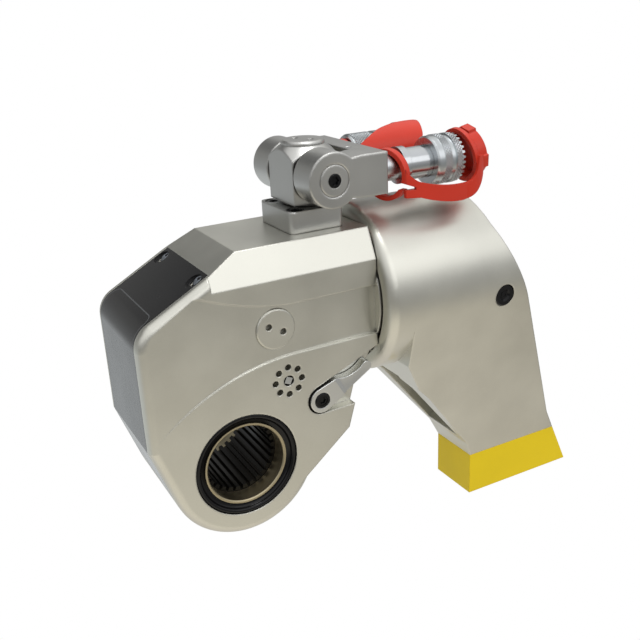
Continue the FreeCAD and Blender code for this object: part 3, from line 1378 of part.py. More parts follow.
def build_far_band():
    """The far strap's band: a shell round the coupler that swells in the middle, cut to its leaning view."""
    shell = new_body("far_band_shell")
    sketch = new_sketch(shell, "XZ")
    draw_outline(sketch, [
        ("band_start", "band_start_radius - band_thickness"),
        ("band_end", "band_end_radius - band_thickness", "band_swell", -1),
        ("band_end", "band_end_radius"),
        ("band_start", "band_start_radius", "band_swell + band_thickness", 1)])
    turning = shell.newObject("PartDesign::Revolution", "Turning")
    turning.Profile = sketch
    turning.ReferenceAxis = (sketch, ["H_Axis"])
    place(shell, along="coupler_side", up="tilt_height")
    view = new_body("far_band_view")
    prism(view, "XZ", "-coupler_spread", "0", [
        ("band_start", "band_floor - 4"),
        ("band_root + 4", "band_floor"),
        ("band_end - 7", "band_floor"),
        ("band_end - 3.5", "band_end_low"),
        ("band_end", "band_end_top - 2"),
        ("band_end - 2", "band_end_top", "2", 1),
        ("band_waist", "band_waist_top", "band_swell / 3", 1),
        ("band_root", "band_root_top"),
        ("band_start", "band_root_top - 5"),
    ])
    place(view, along="coupler_side", up="tilt_height", axis="X", angle="-band_lean")
    return meet("far_band", shell, view)


def build_slit():
    """The slit that opens the near strap's loop into its band."""
    slit = new_body("strap_slit_form")
    tip, middle = "(strap_waist - 2.8)", "(strap_top - strap_width * 0.35)"
    prism(slit, "XZ", "-coupler_spread", "-loop_bore / 2", [
        ("near_loop_reach", f"{middle} + 4"), ("near_loop_reach", f"{middle} - 0.6"),
        (tip, f"{middle} - strap_slit / 2"), (tip, f"{middle} + strap_slit / 2")])
    place(slit, along="-coupler_side", up="tilt_height")
    return slit


def build_caps():
    """The red rubber dust caps, each one moulding with its strap and loop."""
    near = doc.addObject("Part::MultiFuse", "near_moulding")
    near.Shapes = [build_cap("near", NEAR), build_loop("near", NEAR), build_near_band()]
    slitted = doc.addObject("Part::Cut", "near_dust_cap")
    slitted.Base = near
    slitted.Tool = build_slit()
    keep("near_dust_cap", slitted)
    far = doc.addObject("Part::MultiFuse", "far_dust_cap")
    far.Shapes = [build_cap("far", FAR), build_loop("far", FAR), build_far_band()]
    keep("far_dust_cap", far)


def check_and_write():
    """Stops on any failed object or broken shape, then writes one file for each sub-part."""
    doc.recompute()
    for thing in doc.Objects:
        if "Invalid" in thing.State or "Error" in thing.State:
            raise SystemExit(f"{thing.Name} ({thing.Label}) failed: {thing.State}")
    os.makedirs("parts", exist_ok=True)
    for name, thing in parts.items():
        shape = thing.Shape
        if shape.isNull() or not shape.isValid() or not shape.Solids:
            raise SystemExit(f"{name} has no valid shape")
        shape.exportStep(f"parts/{name}.step")
        box = shape.BoundBox
        print(f"{name:22s} solids {len(shape.Solids)} volume {shape.Volume:10.1f}"
              f" x {box.XMin:7.1f} {box.XMax:7.1f} y {box.YMin:6.1f} {box.YMax:6.1f} z {box.ZMin:6.1f} {box.ZMax:6.1f}")


fill_sheet()
build_housing()
build_cover()
build_bore_fittings()
build_ratchet()
build_crank()
build_drive_pawl()
build_piston()
build_reaction_pawl()
build_arm()
build_latch()
build_swivel_base()
build_post()
build_yoke()
build_couplers()
build_caps()
check_and_write()
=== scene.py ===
"""Looks of a hydraulic torque wrench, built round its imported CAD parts."""

import json
import logging
import math
from dataclasses import dataclass
from enum import Enum

import bmesh
import bpy
from mathutils import Matrix, Quaternion, Vector

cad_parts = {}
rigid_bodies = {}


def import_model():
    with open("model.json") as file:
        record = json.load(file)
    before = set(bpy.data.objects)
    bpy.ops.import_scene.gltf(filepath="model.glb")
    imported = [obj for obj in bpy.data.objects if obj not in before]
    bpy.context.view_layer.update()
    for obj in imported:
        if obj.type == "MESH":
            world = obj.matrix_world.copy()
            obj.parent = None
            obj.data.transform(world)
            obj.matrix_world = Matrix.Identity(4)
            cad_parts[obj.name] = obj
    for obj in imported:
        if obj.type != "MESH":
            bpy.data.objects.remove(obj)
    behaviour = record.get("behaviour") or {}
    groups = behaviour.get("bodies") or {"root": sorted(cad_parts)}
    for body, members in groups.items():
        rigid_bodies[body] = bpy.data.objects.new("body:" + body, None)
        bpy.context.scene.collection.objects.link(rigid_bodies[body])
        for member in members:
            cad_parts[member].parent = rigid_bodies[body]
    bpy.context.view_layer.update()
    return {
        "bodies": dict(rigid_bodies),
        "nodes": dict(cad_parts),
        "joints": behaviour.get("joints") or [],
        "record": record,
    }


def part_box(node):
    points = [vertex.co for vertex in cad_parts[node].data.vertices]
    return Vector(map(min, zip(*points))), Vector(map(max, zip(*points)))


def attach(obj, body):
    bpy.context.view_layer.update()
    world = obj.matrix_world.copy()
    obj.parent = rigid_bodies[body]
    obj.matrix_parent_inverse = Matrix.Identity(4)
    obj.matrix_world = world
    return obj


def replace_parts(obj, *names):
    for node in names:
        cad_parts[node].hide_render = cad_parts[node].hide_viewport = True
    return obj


LOG = logging.getLogger("scene")
# An input or an output of a shader node.
Plug = bpy.types.NodeSocket
MM = 0.001
PER_METRE = 1000.0
NUMBER = "NodeSocketFloat"
COLOUR = "NodeSocketColor"
# The angle in degrees from which an edge is shaded sharp.
SHARP_ANGLE = 35.0
# The wave of a star socket and the flats of a hexagon, for a mean radius of 1.
STAR_WAVE = 0.14
HEXAGON_FLAT = 0.95


class Side(Enum):
    """The two sides of the wrench, as signs along Y."""

    NEAR = -1
    FAR = 1


@dataclass(frozen=True)
class Band:
    """One knurled band of a collar, in millimetres.

    Args:
        start: where it begins along X.
        stop: where it ends along X.
        radius: its radius round the coupler's axis.
        side: the side of its coupler.
    """

    start: float
    stop: float
    radius: float
    side: Side


@dataclass(frozen=True)
class Knurl:
    """The diamond knurl of both collars, in millimetres.

    Args:
        side: how far each coupler's axis lies from the middle of the wrench.
        height: how high the axes lie.
        bands: the knurled bands.
        pitch: the step of the ridges along the axis.
        ridges: how many ridges go round.
        rise: how high the ridges stand.
        skin: how far under a band's radius its skin may lie.
        flank: how steeply a ridge rises, in heights for each step.
        valley_dark: how dark the valleys turn, 0 to 1.
        valley_top: the share of the rise over which it is not darkened.
    """

    side: float = 22.0
    height: float = 152.0
    bands: tuple[Band, ...] = (
        Band(136.3, 140.9, 14.5, Side.NEAR),
        Band(144.6, 148.2, 14.5, Side.NEAR),
        Band(106.3, 119.3, 13.0, Side.FAR),
        Band(123.1, 126.7, 13.0, Side.FAR),
    )
    pitch: float = 1.9
    ridges: float = 48.0
    rise: float = 0.28
    skin: float = 0.25
    flank: float = 3.0
    valley_dark: float = 0.85
    valley_top: float = 0.8


@dataclass(frozen=True)
class CoverPrint:
    """The layout of the front cover's bare print, in millimetres.

    Args:
        side: how far the frame line lies from the middle.
        top: where the line's upper stretch lies along X.
        corner: the rounding of its corners.
        line: half the line's width.
        column: the step of the columns.
        cells: how many cells of a column share one step.
        column_share: half the share of a step that a column takes.
        row: the step of the rows.
        row_share: half the share of a step that a row takes.
        bare: the share of cells that stay bare.
        margin: how far the marks stay inside the frame line.
        chart_top: how high the rows reach.
        line_ink: how strong the line is, 0 to 1.
        mark_ink: how strong the marks are, 0 to 1.
        dullness: how much rougher ink makes the cover.
    """

    side: float = 29.2
    top: float = -42.0
    corner: float = 5.0
    line: float = 0.28
    column: float = 6.4
    cells: float = 5.0
    column_share: float = 0.34
    row: float = 2.6
    row_share: float = 0.24
    bare: float = 0.45
    margin: float = 3.0
    chart_top: float = 78.0
    line_ink: float = 0.8
    mark_ink: float = 0.22
    dullness: float = 0.3


@dataclass(frozen=True)
class Skin:
    """How the grain and the mottling of every finish are laid.

    Args:
        fine_detail: steps of detail in the grain.
        slow_scale: how many slow patches lie in a metre.
        slow_detail: steps of detail in the patches.
        slow_share: how much of the mottling the patches give.
        fine_share: how much of it the grain gives.
        rough_share: how much of it goes into the roughness.
    """

    fine_detail: float = 2.0
    slow_scale: float = 28.0
    slow_detail: float = 4.0
    slow_share: float = 1.6
    fine_share: float = 0.3
    rough_share: float = 0.6


@dataclass(frozen=True)
class Hollow:
    """When a hole or a gap counts as deep, for the painted shade in it.

    Args:
        reach: how far a surface looks for others, in millimetres.
        samples: how many times it looks.
        dark: the open share under which the painted shade is at its full strength.
        clear: the open share over which there is no painted shade.
    """

    reach: float = 3.5
    samples: int = 10
    dark: float = 0.22
    clear: float = 0.60


@dataclass(frozen=True)
class DrawnLines:
    """The fine lines that drawing and polishing leave.

    Args:
        scale: how many lines lie in a metre.
        stretch: how much the lines are drawn out across X, as a share.
        detail: steps of detail.
        change: how much they change the roughness.
    """

    scale: float = 2600.0
    stretch: float = 0.05
    detail: float = 3.0
    change: float = 0.2


class Effect(Enum):
    """What a finish has on top of its grain."""

    PLAIN = "plain"
    PRINT = "print"
    KNURL = "knurl"
    BRUSH = "brush"


@dataclass(frozen=True)
class Finish:
    """How one material slot looks.

    Args:
        slot: name of the material slot in the record.
        colour: base colour, linear red, green and blue.
        metallic: 1 for bare metal, 0 for paint and rubber.
        roughness: middle roughness.
        grain: size of the surface grain in millimetres.
        depth: height of the grain in millimetres.
        mottle: strength of the slow colour and roughness changes, 0 to 1.
        coat: strength of a clear layer on top.
        edge: radius of the broken edges in millimetres.
        effect: what comes on top of the grain.
        gloss: level of the plain reflection of paint and rubber, 0.5 for common plastic.
        crevice_shade: how strongly painted shade darkens its narrow holes and gaps, 0 to 1.
    """

    slot: str
    colour: tuple[float, float, float]
    metallic: float
    roughness: float
    grain: float = 0.5
    depth: float = 0.01
    mottle: float = 0.1
    coat: float = 0.0
    edge: float = 0.25
    effect: Effect = Effect.PLAIN
    gloss: float = 0.5
    crevice_shade: float = 0.9


FINISHES = (
    Finish("satin_nickel", (0.675, 0.67, 0.611), 1.0, 0.37, 0.7, 0.013, 0.18, edge=1.2),
    Finish("swivel_nickel", (0.56, 0.56, 0.543), 1.0, 0.34, 0.6, 0.010, 0.14, edge=1.7),
    Finish("black_cover", (0.008, 0.008, 0.009), 0.0, 0.22, 0.6, 0.006, 0.25, 0.5, effect=Effect.PRINT,
           gloss=0.3, crevice_shade=0.5),
    Finish("black_oxide", (0.006, 0.006, 0.007), 0.0, 0.16, 0.5, 0.003, 0.30, edge=0.3, gloss=0.25,
           crevice_shade=0.0),
    Finish("bronze", (0.46, 0.40, 0.27), 1.0, 0.42, 0.9, 0.030, 0.50),
    Finish("wheel_steel", (0.016, 0.015, 0.014), 0.6, 0.36, 0.6, 0.010, 0.35, edge=0.1),
    Finish("drive_steel", (0.30, 0.30, 0.31), 1.0, 0.34, 0.5, 0.008, 0.20),
    Finish("chromed_rod", (0.62, 0.63, 0.65), 1.0, 0.10, 0.8, 0.001, 0.05),
    Finish("seal_rubber", (0.012, 0.012, 0.012), 0.0, 0.55, 0.6, 0.010, 0.10),
    Finish("spring_steel", (0.30, 0.30, 0.31), 1.0, 0.30, 0.6, 0.004, 0.15),
    Finish("lever_steel", (0.70, 0.71, 0.70), 1.0, 0.32, 0.5, 0.004, 0.10, edge=0.6, effect=Effect.BRUSH,
           crevice_shade=0.3),
    Finish("zinc", (0.56, 0.59, 0.61), 1.0, 0.28, 0.5, 0.008, 0.12, effect=Effect.KNURL),
    Finish("chrome", (0.56, 0.58, 0.60), 1.0, 0.20, 0.8, 0.003, 0.10, effect=Effect.BRUSH),
    Finish("red_rubber", (0.62, 0.038, 0.018), 0.0, 0.36, 0.7, 0.030, 0.15, edge=0.8, gloss=0.35,
           crevice_shade=0.3),
    Finish("yellow_coat", (0.92, 0.68, 0.010), 0.0, 0.45, 1.2, 0.012, 0.10, edge=0.6, gloss=0.3,
           crevice_shade=0.0),
)
# Painted reflection: the cover's black screws get this lighter, bluish metal in place of black oxide,
# standing in for the bright reflection that their heads catch.
SCREW_PAINTED_SHEEN = Finish("screw_black", (0.36, 0.39, 0.43), 1.0, 0.45, 0.5, 0.006, 0.25, edge=0.2,
                     crevice_shade=0.0)


@dataclass(frozen=True)
class Viewpoint:
    """Where the photo was taken from, in the frame of the part.

    Args:
        place: camera position in millimetres.
        azimuth: turn about Z in degrees; 0 looks along +Y.
        elevation: height above the horizon in degrees.
        roll: turn about the line of sight in degrees.
        lens: focal length in millimetres.
        sensor: width of the sensor in millimetres.
        nearest: the least distance that the camera sees, in metres.
    """

    place: tuple[float, float, float] = (-152.58, -423.38, 248.16)
    azimuth: float = -27.699
    elevation: float = 21.502
    roll: float = -2.72
    lens: float = 47.49
    sensor: float = 36.0
    nearest: float = 0.01

    def build(self) -> bpy.types.Object:
        """Makes the camera and gives it to the scene.

        Returns:
            The camera object.
        """
        turn, rise = math.radians(self.azimuth), math.radians(self.elevation)
        back = Vector((math.sin(turn) * math.cos(rise), -math.cos(turn) * math.cos(rise), math.sin(rise)))
        data = bpy.data.cameras.new("camera")
        data.lens = self.lens
        data.sensor_width = self.sensor
        data.clip_start = self.nearest
        camera = bpy.data.objects.new("camera", data)
        camera.location = Vector(self.place) * MM
        camera.rotation_mode = "QUATERNION"
        spin = Quaternion((0, 0, 1), math.radians(self.roll))
        camera.rotation_quaternion = (-back).to_track_quat("-Z", "Y") @ spin
        bpy.context.scene.collection.objects.link(camera)
        bpy.context.scene.camera = camera
        return camera


@dataclass(frozen=True)
class Nodes:
    """A small helper that adds and joins shader nodes.

    Args:
        tree: the node tree to work in.
    """

    tree: bpy.types.NodeTree

    def add(self, kind: str, **settings: object) -> bpy.types.Node:
        """Adds a node.

        Args:
            kind: the node's type name.
            settings: attributes to set on it.

        Returns:
            The new node.
        """
        node = self.tree.nodes.new(kind)
        for name, value in settings.items():
            setattr(node, name, value)
        return node

    def join(self, source: Plug, target: Plug) -> None:
        """Links an output to an input."""
        self.tree.links.new(source, target)

    def feed(self, target: Plug, value: object) -> None:
        """Links a socket, or sets its number or colour.

        Args:
            target: the input.
            value: an output socket, a number or a tuple.
        """
        if isinstance(value, Plug):
            self.join(value, target)
        else:
            target.default_value = value

    def math(self, operation: str, *values: object) -> Plug:
        """Adds one step of arithmetic.

        Args:
            operation: the name of the step.
            values: its inputs, sockets or numbers.

        Returns:
            The output socket.
        """
        node = self.add("ShaderNodeMath", operation=operation)
        for socket, value in zip(node.inputs, values):
            self.feed(socket, value)
        return node.outputs[0]

    def mix(self, amount: object, first: object, second: object) -> Plug:
        """Blends two colours.

        Args:
            amount: 0 gives the first colour and 1 the second.
            first: socket or colour with alpha.
            second: socket or colour with alpha.

        Returns:
            The blended colour's socket.
        """
        node = self.add("ShaderNodeMix", data_type="RGBA")
        self.feed(node.inputs["Factor"], amount)
        self.feed(node.inputs[6], first)
        self.feed(node.inputs[7], second)
        return node.outputs[2]

    def ramp(self, value: Plug, low: float, high: float, start: float = 0.0, stop: float = 1.0,
             smooth: bool = False) -> Plug:
        """Maps a range of values to another, held at its ends.

        Args:
            value: the input.
            low: value that gives the start.
            high: value that gives the stop.
            start: output at low.
            stop: output at high.
            smooth: whether the change eases in and out.

        Returns:
            The mapped value's socket.
        """
        node = self.add("ShaderNodeMapRange", clamp=True,
                        interpolation_type="SMOOTHSTEP" if smooth else "LINEAR")
        for socket, number in zip(node.inputs, (value, low, high, start, stop)):
            self.feed(socket, number)
        return node.outputs[0]


@dataclass(frozen=True)
class GroupMaker:
    """Makes the shader node groups that the materials share.

    Args:
        knurled: the sizes of the knurl.
        printed: the layout of the print.
        skin: the grain and the mottling.
        hollow: what counts as a deep gap, for the painted shade.
        drawn: the drawn lines.
    """

    knurled: Knurl = Knurl()
    printed: CoverPrint = CoverPrint()
    skin: Skin = Skin()
    hollow: Hollow = Hollow()
    drawn: DrawnLines = DrawnLines()

    def place(self, nodes: Nodes) -> Plug:
        """The surface point's place in the frame of the part, in metres."""
        return nodes.add("ShaderNodeTexCoord").outputs["Object"]

    def lengths(self, nodes: Nodes) -> list[Plug]:
        """The point's place along X, Y and Z, each in millimetres."""
        split = nodes.add("ShaderNodeSeparateXYZ")
        nodes.join(self.place(nodes), split.inputs[0])
        return [nodes.math("MULTIPLY", length, PER_METRE) for length in split.outputs]

    def start(self, name: str, inputs: dict[str, str],
              outputs: dict[str, str]) -> tuple[Nodes, object, object]:
        """Opens a new group.

        Args:
            name: the group's name.
            inputs: input names and socket types.
            outputs: output names and socket types.

        Returns:
            The node helper, the group's inputs and its outputs.
        """
        tree = bpy.data.node_groups.new(name, "ShaderNodeTree")
        for title, kind in inputs.items():
            tree.interface.new_socket(name=title, in_out="INPUT", socket_type=kind)
        for title, kind in outputs.items():
            tree.interface.new_socket(name=title, in_out="OUTPUT", socket_type=kind)
        nodes = Nodes(tree)
        return nodes, nodes.add("NodeGroupInput").outputs, nodes.add("NodeGroupOutput").inputs

    def surface(self) -> bpy.types.NodeTree:
        """The grain and slow mottling of every finish.

        Returns:
            A group that gives a colour, a roughness and a height.
        """
        nodes, given, result = self.start(
            "surface_grain",
            {"Colour": COLOUR, "Roughness": NUMBER, "Grain": NUMBER, "Mottle": NUMBER},
            {"Colour": COLOUR, "Roughness": NUMBER, "Height": NUMBER})
        place = self.place(nodes)
        fine = nodes.add("ShaderNodeTexNoise")
        nodes.join(place, fine.inputs["Vector"])
        nodes.join(nodes.math("DIVIDE", PER_METRE, given["Grain"]), fine.inputs["Scale"])
        fine.inputs["Detail"].default_value = self.skin.fine_detail
        slow = nodes.add("ShaderNodeTexNoise")
        nodes.join(place, slow.inputs["Vector"])
        slow.inputs["Scale"].default_value = self.skin.slow_scale
        slow.inputs["Detail"].default_value = self.skin.slow_detail
        swing = nodes.math("SUBTRACT", slow.outputs[0], 0.5)
        speck = nodes.math("SUBTRACT", fine.outputs[0], 0.5)
        change = nodes.math("ADD", nodes.math("MULTIPLY", swing, self.skin.slow_share),
                            nodes.math("MULTIPLY", speck, self.skin.fine_share))
        shade = nodes.math("MULTIPLY", change, given["Mottle"])
        scale = nodes.add("ShaderNodeVectorMath", operation="SCALE")
        nodes.join(given["Colour"], scale.inputs[0])
        nodes.join(nodes.math("ADD", 1.0, shade), scale.inputs["Scale"])
        nodes.join(scale.outputs[0], result["Colour"])
        dull = nodes.math("MULTIPLY", shade, self.skin.rough_share)
        nodes.join(nodes.math("ADD", given["Roughness"], dull), result["Roughness"])
        nodes.join(fine.outputs[0], result["Height"])
        return nodes.tree

    def crevice_shade(self) -> bpy.types.NodeTree:
        """Painted shade in narrow holes and gaps, by how closed in they are.

        Returns:
            A group that gives a mask of the painted shade, 1 deep inside a hole.
        """
        nodes, given, result = self.start(
            "dark_crevice", {"Reach": NUMBER, "Strength": NUMBER}, {"Mask": NUMBER})
        around = nodes.add("ShaderNodeAmbientOcclusion", samples=self.hollow.samples)
        nodes.join(given["Reach"], around.inputs["Distance"])
        depth = nodes.ramp(around.outputs["AO"], self.hollow.dark, self.hollow.clear, 1.0, 0.0,
                           smooth=True)
        nodes.join(nodes.math("MULTIPLY", depth, given["Strength"]), result["Mask"])
        return nodes.tree

    def knurl(self) -> bpy.types.NodeTree:
        """The diamond knurl of both collars, round the coupler axes.

        Returns:
            A group that gives a height and a mask of the knurled bands.
        """
        nodes, given, result = self.start(
            "diamond_knurl", {"Pitch": NUMBER, "Ridges": NUMBER}, {"Height": NUMBER, "Mask": NUMBER})
        along, across, height = self.lengths(nodes)
        out = nodes.math("SUBTRACT", nodes.math("ABSOLUTE", across), self.knurled.side)
        up = nodes.math("SUBTRACT", height, self.knurled.height)
        turn = nodes.math("MULTIPLY", nodes.math("ARCTAN2", up, out),
                          nodes.math("DIVIDE", given["Ridges"], math.tau))
        step = nodes.math("DIVIDE", along, given["Pitch"])
        first = nodes.math("PINGPONG", nodes.math("ADD", turn, step), 0.5)
        second = nodes.math("PINGPONG", nodes.math("SUBTRACT", turn, step), 0.5)
        square = nodes.math("ADD", nodes.math("MULTIPLY", out, out), nodes.math("MULTIPLY", up, up))
        reach = nodes.math("SQRT", square)
        near_side = nodes.math("LESS_THAN", across, 0.0)
        mask = None
        for band in self.knurled.bands:
            here = nodes.math("MULTIPLY", nodes.math("GREATER_THAN", along, band.start),
                              nodes.math("LESS_THAN", along, band.stop))
            outside = nodes.math("GREATER_THAN", reach, band.radius - self.knurled.skin)
            here = nodes.math("MULTIPLY", here, outside)
            own_side = near_side if band.side is Side.NEAR else nodes.math("SUBTRACT", 1.0, near_side)
            here = nodes.math("MULTIPLY", here, own_side)
            mask = here if mask is None else nodes.math("MAXIMUM", mask, here)
        crest = nodes.math("MULTIPLY", nodes.math("MINIMUM", first, second), self.knurled.flank)
        ridge = nodes.math("MINIMUM", crest, 1.0)
        nodes.join(nodes.math("MULTIPLY", ridge, mask), result["Height"])
        nodes.join(mask, result["Mask"])
        return nodes.tree

    def print_marks(self) -> bpy.types.NodeTree:
        """The front cover's bare grey print: its frame line and faint columns.

        Returns:
            A group that gives a mask of the print.
        """
        nodes, given, result = self.start(
            "cover_print", {"Line": NUMBER, "Marks": NUMBER}, {"Mask": NUMBER})
        layout = self.printed
        along, breadth, height = self.lengths(nodes)
        across = nodes.math("ABSOLUTE", breadth)
        side = nodes.math("SUBTRACT", across, layout.side - layout.corner)
        top = nodes.math("SUBTRACT", along, layout.top - layout.corner)
        corner = nodes.math("SQRT", nodes.math("ADD", *(
            nodes.math("POWER", nodes.math("MAXIMUM", reach, 0.0), 2.0) for reach in (side, top))))
        inside = nodes.math("MINIMUM", nodes.math("MAXIMUM", side, top), 0.0)
        away = nodes.math("SUBTRACT", nodes.math("ADD", corner, inside), layout.corner)
        edge = nodes.math("ABSOLUTE", away)
        line = nodes.math("MULTIPLY", nodes.math("LESS_THAN", edge, layout.line), given["Line"])
        cell = nodes.add("ShaderNodeTexWhiteNoise", noise_dimensions="3D")
        column = nodes.math("DIVIDE", breadth, layout.column)
        row = nodes.math("DIVIDE", height, layout.row)
        grid = nodes.add("ShaderNodeCombineXYZ")
        nodes.join(nodes.math("FLOOR", nodes.math("MULTIPLY", column, layout.cells)), grid.inputs[0])
        nodes.join(nodes.math("FLOOR", row), grid.inputs[1])
        nodes.join(grid.outputs[0], cell.inputs["Vector"])
        dash = nodes.math("GREATER_THAN", cell.outputs["Value"], layout.bare)
        in_column = nodes.math("LESS_THAN", nodes.math("PINGPONG", column, 0.5), layout.column_share)
        in_row = nodes.math("LESS_THAN", nodes.math("PINGPONG", row, 0.5), layout.row_share)
        low = nodes.math("LESS_THAN", height, layout.chart_top)
        within = nodes.math("LESS_THAN", across, layout.side - layout.margin)
        marks = nodes.math("MULTIPLY", given["Marks"], dash)
        for limit in (in_column, in_row, low, within):
            marks = nodes.math("MULTIPLY", marks, limit)
        nodes.join(nodes.math("MAXIMUM", line, marks), result["Mask"])
        return nodes.tree

    def brush(self) -> bpy.types.NodeTree:
        """Fine drawn lines round the couplers and along the lever.

        Returns:
            A group that gives a height and a change of roughness.
        """
        nodes, given, result = self.start(
            "drawn_lines", {"Scale": NUMBER}, {"Height": NUMBER, "Change": NUMBER})
        stretch = nodes.add("ShaderNodeMapping")
        nodes.join(self.place(nodes), stretch.inputs["Vector"])
        stretch.inputs["Scale"].default_value = (1.0, self.drawn.stretch, self.drawn.stretch)
        noise = nodes.add("ShaderNodeTexNoise")
        nodes.join(stretch.outputs[0], noise.inputs["Vector"])
        nodes.join(given["Scale"], noise.inputs["Scale"])
        noise.inputs["Detail"].default_value = self.drawn.detail
        nodes.join(noise.outputs[0], result["Height"])
        swing = nodes.math("SUBTRACT", noise.outputs[0], 0.5)
        nodes.join(nodes.math("MULTIPLY", swing, self.drawn.change), result["Change"])
        return nodes.tree


def slots_of(frame: dict) -> dict[str, str]:
    """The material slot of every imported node, by the node's name."""
    return {part["node"]: part["material_slot"] for part in frame["record"]["subparts"]}


class MaterialShop:
    """Makes one procedural material for each finish."""

    # Painted shade: the dark oily brown that narrow holes and gaps are darkened towards.
    PAINTED_SHADE = (0.030, 0.022, 0.014, 1.0)
    VALLEY = (0.10, 0.11, 0.12, 1.0)
    INK = (0.10, 0.105, 0.11, 1.0)
    EDGE_SAMPLES = 4

    def __init__(self) -> None:
        """Makes the shared groups."""
        self.maker = GroupMaker()
        self.surface = self.maker.surface()
        self.crevice_shade = self.maker.crevice_shade()
        self.effects = {
            Effect.KNURL: self.maker.knurl(),
            Effect.PRINT: self.maker.print_marks(),
            Effect.BRUSH: self.maker.brush(),
        }
        self.made: dict[str, bpy.types.Material] = {}

    def group(self, nodes: Nodes, tree: bpy.types.NodeTree, **numbers: object) -> bpy.types.Node:
        """Adds a shared group to a material.

        Args:
            nodes: the material's node helper.
            tree: the group.
            numbers: its inputs by name.

        Returns:
            The group node.
        """
        node = nodes.add("ShaderNodeGroup")
        node.node_tree = tree
        for name, number in numbers.items():
            node.inputs[name].default_value = number
        return node

    def add_knurl(self, nodes: Nodes, finish: Finish, colour: Plug, height: Plug) -> tuple[Plug, Plug]:
        """Lays the knurl over a finish, darker in its valleys.

        Args:
            nodes: the material's node helper.
            finish: the finish, whose grain sets the scale of heights.
            colour: the colour's socket so far.
            height: the height's socket so far.

        Returns:
            The new colour and height.
        """
        size = self.maker.knurled
        knurl = self.group(nodes, self.effects[Effect.KNURL], Pitch=size.pitch, Ridges=size.ridges)
        lift = nodes.math("MULTIPLY", knurl.outputs["Height"], size.rise / finish.depth)
        valley_dark = nodes.ramp(knurl.outputs["Height"], 0.0, size.valley_top, size.valley_dark, 0.0)
        valley = nodes.math("MULTIPLY", knurl.outputs["Mask"], valley_dark)
        return nodes.mix(valley, colour, self.VALLEY), nodes.math("ADD", height, lift)

    def add_print(self, nodes: Nodes, colour: Plug, rough: Plug) -> tuple[Plug, Plug]:
        """Lays the cover's bare print over a finish.

        Args:
            nodes: the material's node helper.
            colour: the colour's socket so far.
            rough: the roughness's socket so far.

        Returns:
            The new colour and roughness.
        """
        layout = self.maker.printed
        marks = self.group(nodes, self.effects[Effect.PRINT], Line=layout.line_ink, Marks=layout.mark_ink)
        dull = nodes.math("MULTIPLY", marks.outputs["Mask"], layout.dullness)
        return nodes.mix(marks.outputs["Mask"], colour, self.INK), nodes.math("ADD", rough, dull)

    def build(self, finish: Finish) -> bpy.types.Material:
        """Makes the material of one finish.

        Args:
            finish: its colours and sizes.

        Returns:
            The material.
        """
        material = bpy.data.materials.new(finish.slot)
        material.use_nodes = True
        nodes = Nodes(material.node_tree)
        shader = material.node_tree.nodes["Principled BSDF"]
        grain = self.group(nodes, self.surface, Colour=(*finish.colour, 1.0), Roughness=finish.roughness,
                           Grain=finish.grain, Mottle=finish.mottle)
        colour, rough = grain.outputs["Colour"], grain.outputs["Roughness"]
        height = grain.outputs["Height"]
        if finish.effect is Effect.KNURL:
            colour, height = self.add_knurl(nodes, finish, colour, height)
        if finish.effect is Effect.PRINT:
            colour, rough = self.add_print(nodes, colour, rough)
        if finish.effect is Effect.BRUSH:
            lines = self.group(nodes, self.effects[Effect.BRUSH], Scale=self.maker.drawn.scale)
            height = nodes.math("ADD", height, lines.outputs["Height"])
            rough = nodes.math("ADD", rough, lines.outputs["Change"])
        # Painted shade: narrow holes and gaps are darkened by how closed in they are.
        if finish.crevice_shade:
            shade = self.group(nodes, self.crevice_shade, Reach=self.maker.hollow.reach * MM,
                               Strength=finish.crevice_shade)
            colour = nodes.mix(shade.outputs["Mask"], colour, self.PAINTED_SHADE)
        nodes.join(colour, shader.inputs["Base Color"])
        nodes.join(rough, shader.inputs["Roughness"])
        shader.inputs["Metallic"].default_value = finish.metallic
        shader.inputs["Coat Weight"].default_value = finish.coat
        shader.inputs["Specular IOR Level"].default_value = finish.gloss
        rounded = nodes.add("ShaderNodeBevel", samples=self.EDGE_SAMPLES)
        rounded.inputs["Radius"].default_value = finish.edge * MM
        bump = nodes.add("ShaderNodeBump")
        bump.inputs["Strength"].default_value = 1.0
        bump.inputs["Distance"].default_value = finish.depth * MM
        nodes.join(height, bump.inputs["Height"])
        nodes.join(rounded.outputs["Normal"], bump.inputs["Normal"])
        nodes.join(bump.outputs["Normal"], shader.inputs["Normal"])
        self.made[finish.slot] = material
        LOG.info("material %s", finish.slot)
        return material

    def dress(self, frame: dict) -> None:
        """Gives every CAD node the material of its slot.
        """
        slots = slots_of(frame)
        for name, node in frame["nodes"].items():
            node.data.materials.clear()
            node.data.materials.append(self.made[slots[name]])


class Socket(Enum):
    """The shapes of a screw's socket."""

    STAR = "star"
    HEXAGON = "hexagon"

    def reach(self, angle: float) -> float:
        """How far the socket's wall lies from its middle, for a mean radius of 1.

        Args:
            angle: direction in radians.

        Returns:
            The distance.
        """
        if self is Socket.STAR:
            return 1.0 + STAR_WAVE * math.cos(6 * angle)
        sixth = math.pi / 3
        return HEXAGON_FLAT / math.cos((angle % sixth) - sixth / 2)


@dataclass(frozen=True)
class HeadSize:
    """The sizes of one kind of screw head, in millimetres.

    Args:
        radius: its radius.
        rise: how far the middle stands above the rim.
        skirt: how far its side runs down.
        socket: mean radius of the socket.
        depth: depth of the socket.
        edge: width of its broken edge.
        level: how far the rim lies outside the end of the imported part.
        shape: the socket's shape.
        finish: its finish.
    """

    radius: float
    rise: float
    skirt: float
    socket: float
    depth: float
    edge: float
    level: float
    shape: Socket = Socket.STAR
    finish: str = "black_oxide"


